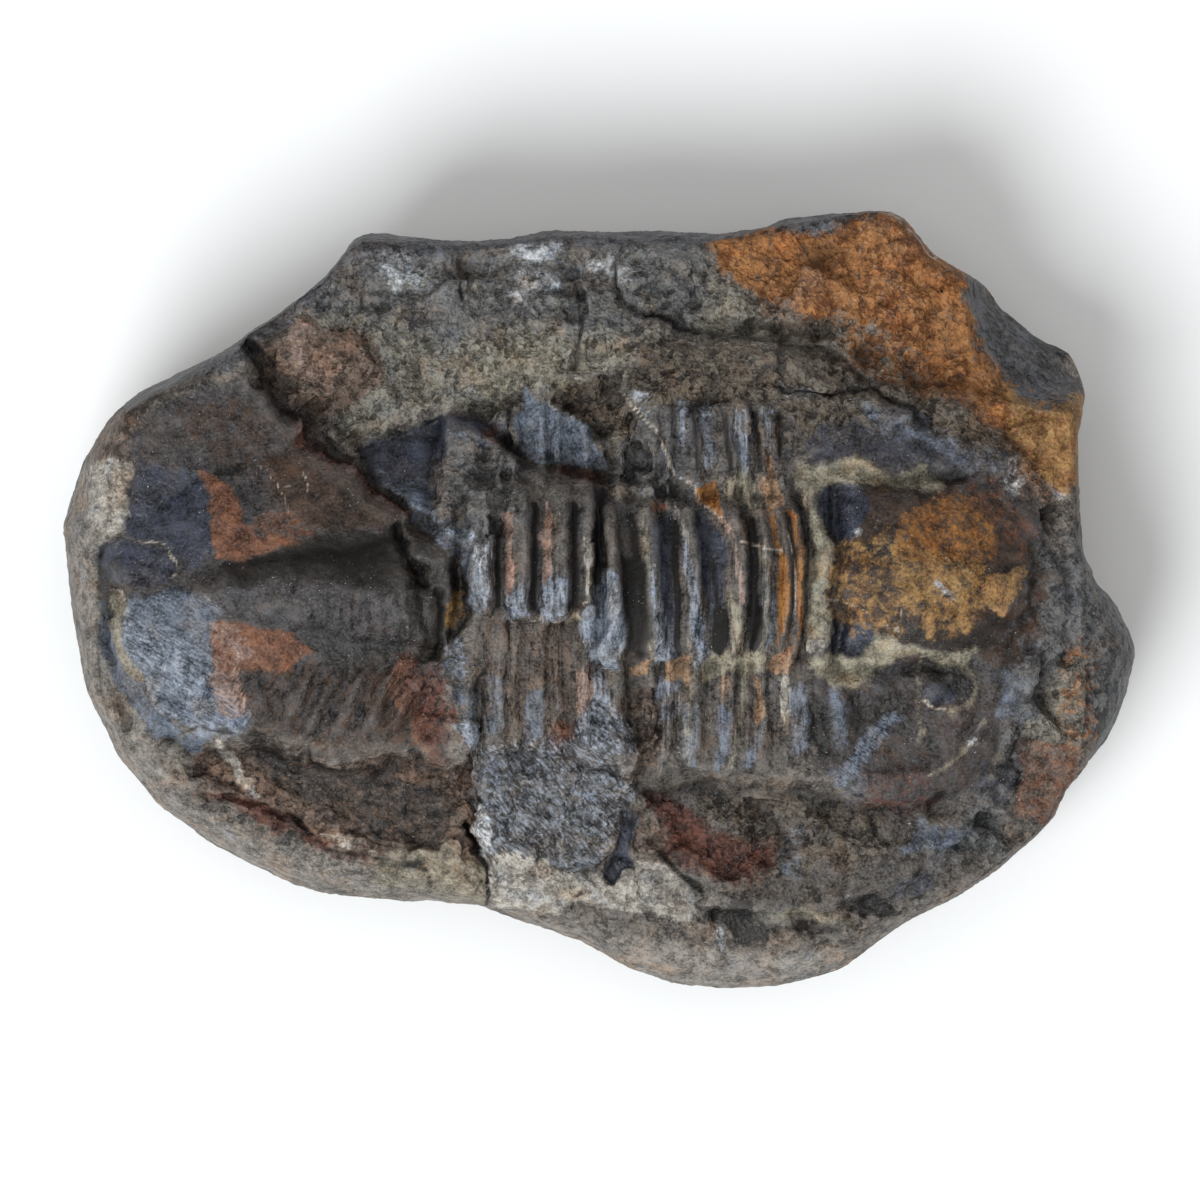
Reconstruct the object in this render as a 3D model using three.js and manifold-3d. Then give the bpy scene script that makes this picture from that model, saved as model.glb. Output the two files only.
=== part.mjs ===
// A trilobite fossil in its stone nodule, lying flat with the fossil face up.
// X runs along the animal with the head at +X, Y runs across it and Z is up.
// The stone is one solid: a rounded nodule cut off above by a relief surface.
import * as THREE from 'three';
import { mergeVertices } from 'three/addons/utils/BufferGeometryUtils.js';
import Module from 'manifold-3d';

const wasm = await Module();
wasm.setup();

// Driving dimensions, in millimetres
const faceHeight = 27;
const faceFallEnds = 2.2;
const faceFallTop = 1.8;
const faceFallBottom = 3.0;
const widestHeight = 13;
const rimReach = 25;
const baseInset = 17;
const bodyRise = 2.4;
const axisRise = 2.3;
const ringRise = 1.5;
const glabellaRise = 3.4;
const clearance = 5;

// Mesh density: divisions around the nodule and across each stretch of the face
const hullColumns = 112;
const faceStretches = [
  { from: -62, to: -15, steps: 24 },
  { from: -15, to: 23, steps: 38 },
  { from: 23, to: 62, steps: 21 },
];
const faceRows = 52;
const faceHalfWidth = 46;

// Outline of the nodule seen from above, at its widest level
const nodulePoints = [
  [57.3, 0.0], [55.3, 1.9], [54.8, 3.8], [53.8, 4.7], [53.1, 18.3], [54.2, 23.0], [52.8, 26.9],
  [51.3, 28.4], [49.0, 29.4], [44.9, 32.6], [42.5, 35.7], [37.2, 38.5], [33.4, 42.8], [31.6, 43.4],
  [20.8, 42.6], [17.6, 41.4], [12.5, 40.9], [-5.1, 41.2], [-10.7, 40.1], [-17.0, 40.0],
  [-24.6, 40.9], [-27.3, 40.4], [-31.0, 35.7], [-35.5, 32.0], [-41.7, 28.1], [-51.5, 22.9],
  [-54.9, 20.0], [-57.8, 15.5], [-59.8, 8.4], [-59.0, 0.0], [-57.3, -10.1], [-53.7, -17.4],
  [-49.2, -23.0], [-43.4, -27.1], [-34.1, -31.8], [-30.7, -32.9], [-13.2, -34.3], [-2.0, -38.1],
  [3.6, -41.4], [9.1, -43.0], [15.0, -43.4], [20.1, -43.1], [26.8, -41.2], [33.0, -36.7],
  [40.5, -32.8], [49.0, -26.0], [50.3, -24.5], [52.0, -21.0], [56.2, -16.1], [58.2, -12.4],
  [59.8, -6.3], [59.3, -4.1],
];

// Outline of the fossil face, where the worn or broken sides begin
const rimPoints = [
  [-55.8, -4.5], [-55.8, -0.1], [-55.1, 6.1], [-52.3, 7.7], [-51.9, 14.4], [-52.4, 20.5],
  [-48.8, 22.6], [-44.4, 24.6], [-39.9, 27.7], [-38.6, 30.2], [-31.1, 34.9], [-28.3, 38.4],
  [-26.1, 39.6], [-18.8, 39.3], [-11.1, 39.5], [-5.5, 40.2], [5.6, 39.8], [16.7, 40.2],
  [25.6, 42.5], [31.2, 42.8], [33.7, 41.9], [36.7, 37.9], [40.6, 34.4], [41.7, 27.7],
  [44.5, 23.8], [47.8, 21.6], [52.7, 21.0], [52.7, 13.3], [53.1, 6.6], [53.8, 2.7],
  [53.9, -4.5], [54.1, -11.2], [53.8, -18.4], [51.2, -23.4], [44.5, -29.5], [37.8, -33.4],
  [31.9, -35.1], [17.8, -34.7], [4.5, -34.3], [-4.4, -33.4], [-13.3, -31.2], [-21.4, -27.6],
  [-33.3, -25.8], [-43.9, -22.1], [-48.8, -19.7], [-52.7, -16.5], [-55.3, -11.2],
];

// Outline of the whole animal, which stands above the stone around it
const bodyOutline = [
  [-54.4, -0.1], [-53.5, -8.9], [-51.6, -15.4], [-45.8, -15.4], [-39.7, -15.8], [-29.9, -17.4],
  [-18.8, -18.3], [-14.4, -16.5], [-4.4, -15.8], [4.5, -19.5], [22.3, -20.1], [27.8, -22.3],
  [35.6, -22.3], [42.8, -18.9], [46.7, -11.2], [49.5, -5.6], [50.7, 1.1], [49.6, 7.7],
  [47.8, 13.1], [44.5, 17.7], [40.1, 21.9], [28.9, 23.6], [22.3, 28.1], [11.2, 28.6],
  [4.5, 27.5], [3.2, 22.2], [6.3, 14.4], [-2.1, 13.9], [-8.1, 15.2], [-12.2, 19.2],
  [-16.9, 21.4], [-17.7, 14.4], [-18.8, 7.2], [-26.1, 12.2], [-32.2, 18.3], [-35.7, 20.5],
  [-37.5, 24.4], [-39.9, 27.7], [-42.6, 27.7], [-53.3, 22.2], [-54.9, 8.8],
];

// Breaks, hollows and ledges: how far each patch stands up and how wide its edge slope is
const patches = [
  { name: 'pit before the tail axis', rise: -3.4, edge: 1.4, outline: [
    [-22.2, 7.9], [-17.7, 7.1], [-14.6, 2.2], [-15.1, -5.6], [-18.6, -7.2], [-21.7, -4.5], [-22.8, 2.2]] },
  { name: 'lump in the pit', rise: 2.2, edge: 1.6, outline: [
    [-21.6, 6.1], [-18.8, 6.9], [-16.4, 4.9], [-16.8, 2.4], [-19.9, 1.9], [-21.7, 3.7]] },
  { name: 'rough hollow below the tail', rise: -1.2, edge: 0.9, outline: [
    [-46.4, -16.2], [-29.9, -17.4], [-18.8, -18.3], [-14.6, -16.7], [-13.5, -22.3], [-14.4, -29.2],
    [-21.4, -26.9], [-29.9, -26.1], [-39.4, -22.3], [-46.2, -18.7]] },
  { name: 'silver break below the middle', rise: 1.0, edge: 1.0, outline: [
    [-14.4, -16.5], [-4.4, -15.8], [1.2, -13.4], [4.5, -18.4], [3.6, -24.5], [4.3, -27.8],
    [2.5, -31.6], [-4.4, -34.5], [-12.6, -34.3], [-14.2, -24.5]] },
  { name: 'cream chip at the lower rim', rise: -1.6, edge: 2.0, outline: [
    [-12.6, -33.9], [-11.1, -29.2], [4.5, -28.9], [11.2, -31.6], [10.1, -36.7], [-13.3, -37.8]] },
  { name: 'red hollow', rise: -1.0, edge: 1.8, outline: [
    [5.4, -21.2], [11.2, -19.8], [17.8, -22.3], [21.2, -27.8], [16.7, -31.2], [5.8, -26.5]] },
  { name: 'notch in the lower rim', rise: -1.6, edge: 1.0, outline: [
    [26.3, -33.2], [29.2, -32.3], [32.7, -33.2], [31.8, -36.5], [27.8, -36.5]] },
  { name: 'facet above the break', rise: -1.2, edge: 1.2, outline: [
    [-27.5, 16.4], [-22.2, 18.8], [-17.1, 20.7], [-16.9, 17.7], [-17.7, 11.1], [-25.3, 13.3]] },
  { name: 'lower bench by the orange face', rise: -1.1, edge: 1.2, outline: [
    [2.1, 46], [2.4, 33.3], [5.6, 31.3], [10.1, 29.4], [27.8, 28.8], [30.1, 25.3], [45.6, 22.2],
    [42.3, 46]] },
  { name: 'lower bench at the upper rim', rise: -0.9, edge: 1.1, outline: [
    [-17.4, 46], [-17.1, 36.8], [-15.3, 33.1], [-13.3, 31.7], [-4.4, 33.7], [2.1, 33.3], [2.1, 46]] },
];

// Rounded swellings: centre, half lengths along X and Y, and height
const domes = [
  { name: 'tail shield', centre: [-22, -1], reach: [33, 19], rise: 3.2 },
  { name: 'head shield', centre: [33, 0], reach: [18, 21], rise: 1.6 },
  { name: 'glabella', centre: [36, 3.2], reach: [12, 10.4], rise: glabellaRise },
  { name: 'eye lobe', centre: [36.4, -10.7], reach: [2.8, 2.0], rise: 0.8 },
  { name: 'shell chip on the glabella', centre: [45.2, 1.2], reach: [2.6, 2.6], rise: 0.8 },
  { name: 'lower cheek hollow', centre: [32, -14], reach: [8, 5.5], rise: -0.9 },
];

// Ridges and furrows: line, half width and height, which is negative for a furrow
const ridges = [
  { name: 'occipital band', reach: 1.9, rise: 1.1, line: [[23.6, 14.6], [24.4, 2.5], [23.6, -9.6]] },
  { name: 'furrow behind the glabella', reach: 1.2, rise: -0.8, line: [[26, 12], [26.4, 3], [26, -7]] },
  { name: 'upper glabella furrow', reach: 1.5, rise: -0.9, line: [[22.5, 14.2], [40, 13.6]] },
  { name: 'lower glabella furrow', reach: 1.5, rise: -0.9, line: [[23.5, -8.2], [38, -7.4]] },
  { name: 'hollow before the glabella', reach: 2.6, rise: -1.6, line: [
    [47.5, 7.2], [49.2, 3], [49.4, -1.5], [48, -6.6]] },
  { name: 'cheek crease', reach: 1.1, rise: 0.8, line: [[25.9, -19.4], [29.8, -15.1], [34.5, -10.2]] },
  { name: 'tail border furrow', reach: 1.6, rise: -1.0, line: [
    [-54.2, 0.5], [-54.2, -7], [-52.6, -13.5], [-46.8, -15.2]] },
  { name: 'groove under the body break', reach: 1.3, rise: -1.1, line: [
    [-39.3, 28], [-35, 21.2], [-31.6, 19], [-25.4, 13], [-18.2, 8]] },
  { name: 'crack across the middle', reach: 0.9, rise: -1.1, line: [
    [-13.3, -9.5], [-13.3, -17.8], [-14.4, -24.5], [-12.7, -33.9]] },
  { name: 'crack above the left rings', reach: 0.9, rise: -0.9, line: [
    [-16.9, 21.2], [-12.2, 19.1], [-8.1, 14.9], [-2.1, 13.7], [6.3, 13.4]] },
];

// The axis of the tail: a tapering ridge with its foot at the pit
const tailAxis = { head: [-17, 0.6], tip: [-43.5, 1], headReach: 6.6, tipReach: 2.6, rise: 2.2 };

// The two blocks of the middle: the break between them shifts the axis sideways
const ringBlocks = [
  { from: -14.6, firstCrest: -12.4, pitch: 4.75, count: 3, axisY: 5.6, axisReach: 7.8, bow: 0.2 },
  { from: 0.9, firstCrest: 4.3, pitch: 4.05, count: 5, axisY: 2.2, axisReach: 9.2, bow: 1.3 },
];
const ringFall = 1.4;
const pleuraRise = 0.9;
const pleuraEnd = -18.6;
const upperPleuraEnd = 23;

const smooth = (t) => THREE.MathUtils.smoothstep(t, 0, 1);

// Distance from a point to a line of corners
function lineDistance(x, y, corners) {
  let nearest = Infinity;
  for (let i = 1; i < corners.length; i++) {
    const [ax, ay] = corners[i - 1];
    const [bx, by] = corners[i];
    const along = ((x - ax) * (bx - ax) + (y - ay) * (by - ay)) / ((bx - ax) ** 2 + (by - ay) ** 2);
    const t = THREE.MathUtils.clamp(along, 0, 1);
    nearest = Math.min(nearest, Math.hypot(x - ax - t * (bx - ax), y - ay - t * (by - ay)));
  }
  return nearest;
}

// Distance inside a closed outline, negative outside it
function depthInside(x, y, outline) {
  let inside = false;
  for (let i = 0, j = outline.length - 1; i < outline.length; j = i++) {
    const [ax, ay] = outline[i];
    const [bx, by] = outline[j];
    if (ay > y !== by > y && x < ((bx - ax) * (y - ay)) / (by - ay) + ax) inside = !inside;
  }
  const distance = lineDistance(x, y, [...outline, outline[0]]);
  return inside ? distance : -distance;
}

const patchHeight = (x, y, { outline, edge, rise }) => rise * smooth(depthInside(x, y, outline) / edge + 0.5);

function domeHeight(x, y, { centre, reach, rise }) {
  const spread = ((x - centre[0]) / reach[0]) ** 2 + ((y - centre[1]) / reach[1]) ** 2;
  return rise * Math.max(0, 1 - spread) ** 0.8;
}

function ridgeHeight(x, y, { line, reach, rise }) {
  return rise * smooth(1 - lineDistance(x, y, line) / reach);
}

function tailAxisHeight(x, y) {
  const { head, tip, headReach, tipReach, rise } = tailAxis;
  const along = (x - head[0]) / (tip[0] - head[0]);
  const t = THREE.MathUtils.clamp(along, 0, 1);
  const off = (y - THREE.MathUtils.lerp(head[1], tip[1], t)) / THREE.MathUtils.lerp(headReach, tipReach, t);
  const ends = smooth(1 - Math.max(0, along - 1) * 8) * smooth(1 - Math.max(0, -along) * 20);
  return rise * (1 - 0.6 * t) * Math.max(0, 1 - off * off) ** 0.7 * ends;
}

// Each ring climbs gently towards the head and drops steeply at its front edge
function ringSaw(x, { firstCrest, pitch, from }) {
  const start = firstCrest + ringFall - pitch;
  const turn = (x - start) / pitch;
  const within = (turn - Math.floor(turn)) * pitch;
  const climb = pitch - ringFall;
  return within < climb ? within / climb : 1 - (within - climb) / ringFall;
}

// Height of one block of the middle: a vaulted axis and flatter side lobes, crossed by the rings
function ringBlockHeight(x, y, block) {
  const across = (y - block.axisY) / block.axisReach;
  const bowed = x + block.bow * Math.min(across * across, 2.2);
  const to = block.firstCrest + ringFall + block.pitch * (block.count - 1);
  const mask = smooth((bowed - block.from) / 0.8 + 0.5) * smooth((to - bowed) / 0.8 + 0.5);
  const saw = ringSaw(bowed, block);
  const vault = Math.max(0, 1 - across * across);
  const axis = axisRise * vault ** 0.6 + ringRise * saw * smooth(vault * 3);
  const sideReach = Math.min(smooth((y - pleuraEnd) / 3), smooth((upperPleuraEnd - y) / 3));
  const side = pleuraRise * saw * sideReach * (1 - smooth(vault * 3));
  return mask * (axis + side);
}

// Height of the fossil face above the flat underside
function faceLevel(x, y) {
  const crossFall = y < 6 ? faceFallBottom * ((y - 6) / 42) ** 2 : faceFallTop * ((y - 6) / 36) ** 2;
  let height = faceHeight - faceFallEnds * (x / 60) ** 2 - crossFall;
  height += patchHeight(x, y, { outline: bodyOutline, edge: 2.4, rise: bodyRise });
  for (const patch of patches) height += patchHeight(x, y, patch);
  for (const dome of domes) height += domeHeight(x, y, dome);
  for (const ridge of ridges) height += ridgeHeight(x, y, ridge);
  for (const block of ringBlocks) height += ringBlockHeight(x, y, block);
  return height + tailAxisHeight(x, y);
}

// Distance from the origin to a closed outline, in the direction of an angle
function outlineRadius(angle, outline) {
  const directionX = Math.cos(angle);
  const directionY = Math.sin(angle);
  let radius = 0;
  for (let i = 0; i < outline.length; i++) {
    const a = outline[i];
    const b = outline[(i + 1) % outline.length];
    const sideA = directionX * a.y - directionY * a.x;
    const sideB = directionX * b.y - directionY * b.x;
    if (sideA * sideB > 0 || sideA === sideB) continue;
    const t = sideA / (sideA - sideB);
    const reach = directionX * (a.x + t * (b.x - a.x)) + directionY * (a.y + t * (b.y - a.y));
    radius = Math.max(radius, reach);
  }
  return radius;
}

function smoothOutline(points) {
  const corners = points.map(([x, y]) => new THREE.Vector3(x, y, 0));
  return new THREE.CatmullRomCurve3(corners, true, 'centripetal').getPoints(points.length * 4).slice(0, -1);
}

// Moves every vertex of a geometry to where the callback puts it
function moveVertices(geometry, place) {
  const position = geometry.getAttribute('position');
  const point = new THREE.Vector3();
  for (let i = 0; i < position.count; i++) {
    place(point.fromBufferAttribute(position, i));
    position.setXYZ(i, point.x, point.y, point.z);
  }
  return geometry;
}

// Rounded sides: levels from the underside to above the face, each between two outlines
function sideLevels() {
  const levels = [];
  for (const turn of [1, 0.95, 0.8, 0.5]) {
    levels.push({ z: widestHeight * (1 - turn), inward: baseInset * (1 - Math.sqrt(1 - (0.98 * turn) ** 2)) });
  }
  for (const turn of [0, 0.5, 0.8, 0.95, 1]) {
    const z = THREE.MathUtils.lerp(widestHeight, rimReach, turn);
    levels.push({ z, toRim: 1 - Math.sqrt(1 - turn ** 2) });
  }
  levels.push({ z: faceHeight + 4 * clearance, toRim: 1 });
  return levels;
}

function buildHull() {
  const levels = sideLevels();
  const nodule = smoothOutline(nodulePoints);
  const rim = smoothOutline(rimPoints);
  const drum = new THREE.CylinderGeometry(1, 1, 1, hullColumns, levels.length - 1);
  drum.rotateX(Math.PI / 2);
  return moveVertices(drum, (point) => {
    const { z, inward = 0, toRim = 0 } = levels[Math.round((point.z + 0.5) * (levels.length - 1))];
    point.z = z;
    if (Math.hypot(point.x, point.y) < 0.5) return;
    const angle = Math.atan2(point.y, point.x);
    const outer = outlineRadius(angle, nodule);
    const edge = Math.min(outlineRadius(angle, rim), outer - 0.4);
    const radius = THREE.MathUtils.lerp(outer, edge, toRim) - inward;
    point.x = radius * Math.cos(angle);
    point.y = radius * Math.sin(angle);
  });
}

function buildFaceBlock() {
  const columns = faceStretches.flatMap(({ from, to, steps }) =>
    Array.from({ length: steps }, (_, i) => from + ((to - from) * i) / steps));
  columns.push(faceStretches.at(-1).to);
  const block = new THREE.BoxGeometry(1, 1, 1, columns.length - 1, faceRows, 1);
  return moveVertices(block, (point) => {
    point.x = columns[Math.round((point.x + 0.5) * (columns.length - 1))];
    point.y *= 2 * faceHalfWidth;
    point.z = point.z > 0 ? faceLevel(point.x, point.y) : -clearance;
  });
}

function toSolid(geometry) {
  geometry.deleteAttribute('normal');
  geometry.deleteAttribute('uv');
  const merged = mergeVertices(geometry);
  return new wasm.Manifold(new wasm.Mesh({
    numProp: 3,
    vertProperties: merged.getAttribute('position').array,
    triVerts: new Uint32Array(merged.getIndex().array),
  }));
}

function toGeometry(solid) {
  const mesh = solid.getMesh();
  const geometry = new THREE.BufferGeometry();
  geometry.setAttribute('position', new THREE.BufferAttribute(mesh.vertProperties, 3));
  geometry.setIndex(new THREE.BufferAttribute(mesh.triVerts, 1));
  geometry.computeVertexNormals();
  return geometry;
}

const stone = toSolid(buildHull()).intersect(toSolid(buildFaceBlock())).simplify(0.02);
const stoneMaterial = new THREE.MeshStandardMaterial({ color: 0x4d4843, roughness: 0.6, metalness: 0 });
const fossil = new THREE.Mesh(toGeometry(stone), stoneMaterial);
fossil.name = 'fossil_nodule';

const group = new THREE.Group();
group.add(fossil);

export default group;
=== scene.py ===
import math

import bmesh
import bpy
import numpy as np
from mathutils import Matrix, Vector, noise


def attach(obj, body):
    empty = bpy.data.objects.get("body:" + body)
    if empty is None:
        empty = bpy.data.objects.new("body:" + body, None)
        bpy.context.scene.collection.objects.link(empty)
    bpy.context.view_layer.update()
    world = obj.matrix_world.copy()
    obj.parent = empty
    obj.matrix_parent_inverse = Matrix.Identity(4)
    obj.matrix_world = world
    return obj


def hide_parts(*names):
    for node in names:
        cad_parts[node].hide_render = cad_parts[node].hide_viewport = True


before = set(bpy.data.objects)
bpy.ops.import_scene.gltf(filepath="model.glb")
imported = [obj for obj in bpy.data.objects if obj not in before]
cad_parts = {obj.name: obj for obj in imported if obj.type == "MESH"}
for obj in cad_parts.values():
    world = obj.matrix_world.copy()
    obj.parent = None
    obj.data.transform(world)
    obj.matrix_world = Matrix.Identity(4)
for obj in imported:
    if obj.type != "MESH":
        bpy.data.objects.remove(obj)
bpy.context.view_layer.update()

mm = 0.001

# The stone: sizes in millimetres, as in the part's source
stone = dict(
    faceHeight=27, fallEnds=2.2, fallTop=1.8, fallBottom=3.0,
    bodyRise=2.4, bodyEdge=2.4, bodyEdgeHead=6.0,
    widest=13, baseInset=17, baseTurn=0.98,
    rimRound=0.9, rimFall=0.7,          # how the face rolls over into the sides
    faceColumns=290, faceRows=204, upperRows=13, lowerRows=17,
    chippedFrom=23, chippedTo=41,       # degrees round from +X where the upper right side is one flat break
    rockGrit=0.30, sideGrit=0.35,       # height of the roughness
    warpWide=0.8, warpFine=0.3,         # how far the plan is shifted to and fro
    chips=((5.5, 0.36, 0.14), (2.3, 0.17, 0.12)),   # flakes the rock breaks into: size, step and tilt
)

nodulePoints = [
    (57.3, 0.0), (55.3, 1.9), (54.8, 3.8), (53.8, 4.7), (53.1, 18.3), (54.2, 23.0), (52.8, 26.9),
    (51.3, 28.4), (49.0, 29.4), (44.9, 32.6), (42.5, 35.7), (37.2, 38.5), (33.4, 42.8), (31.6, 43.4),
    (20.8, 42.6), (17.6, 41.4), (12.5, 40.9), (-5.1, 41.2), (-10.7, 40.1), (-17.0, 40.0),
    (-24.6, 40.9), (-27.3, 40.4), (-31.0, 35.7), (-35.5, 32.0), (-41.7, 28.1), (-51.5, 22.9),
    (-54.9, 20.0), (-57.8, 15.5), (-59.8, 8.4), (-59.0, 0.0), (-57.3, -10.1), (-53.7, -17.4),
    (-49.2, -23.0), (-43.4, -27.1), (-34.1, -31.8), (-30.7, -32.9), (-13.2, -34.3), (-2.0, -38.1),
    (3.6, -41.4), (9.1, -43.0), (15.0, -43.4), (20.1, -43.1), (26.8, -41.2), (33.0, -36.7),
    (40.5, -32.8), (49.0, -26.0), (50.3, -24.5), (52.0, -21.0), (56.2, -16.1), (58.2, -12.4),
    (59.8, -6.3), (59.3, -4.1),
]
rimPoints = [
    (-55.8, -4.5), (-55.8, -0.1), (-55.1, 6.1), (-52.3, 7.7), (-51.9, 14.4), (-52.4, 20.5),
    (-48.8, 22.6), (-44.4, 24.6), (-39.9, 27.7), (-38.6, 30.2), (-31.1, 34.9), (-28.3, 38.4),
    (-26.1, 39.6), (-18.8, 39.3), (-11.1, 39.5), (-5.5, 40.2), (5.6, 39.8), (16.7, 40.2),
    (25.6, 42.5), (31.2, 42.8), (33.7, 41.9), (36.7, 37.9), (40.6, 34.4), (41.7, 27.7),
    (44.5, 23.8), (47.8, 21.6), (52.7, 21.0), (52.7, 13.3), (53.1, 6.6), (53.8, 2.7),
    (53.9, -4.5), (54.1, -11.2), (53.8, -18.4), (51.2, -23.4), (44.5, -29.5), (37.8, -33.4),
    (31.9, -35.1), (17.8, -34.7), (4.5, -34.3), (-4.4, -33.4), (-13.3, -31.2), (-21.4, -27.6),
    (-33.3, -25.8), (-43.9, -22.1), (-48.8, -19.7), (-52.7, -16.5), (-55.3, -11.2),
]
bodyOutline = [
    (-54.4, -0.1), (-53.5, -8.9), (-51.6, -15.4), (-45.8, -15.4), (-39.7, -15.8), (-29.9, -17.4),
    (-18.8, -18.3), (-14.4, -16.5), (-4.4, -15.8), (4.5, -19.5), (22.3, -20.1), (27.8, -22.3),
    (35.6, -22.3), (42.8, -18.9), (46.7, -11.2), (49.5, -5.6), (50.7, 1.1), (49.6, 7.7),
    (47.8, 13.1), (44.5, 17.7), (40.1, 21.9), (28.9, 23.6), (22.3, 28.1), (11.2, 28.6),
    (4.5, 27.5), (3.2, 22.2), (6.3, 14.4), (-2.1, 13.9), (-8.1, 15.2), (-12.2, 19.2),
    (-16.9, 21.4), (-17.7, 14.4), (-18.8, 7.2), (-26.1, 12.2), (-32.2, 18.3), (-35.7, 20.5),
    (-37.5, 24.4), (-39.9, 27.7), (-42.6, 27.7), (-53.3, 22.2), (-54.9, 8.8),
]

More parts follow.
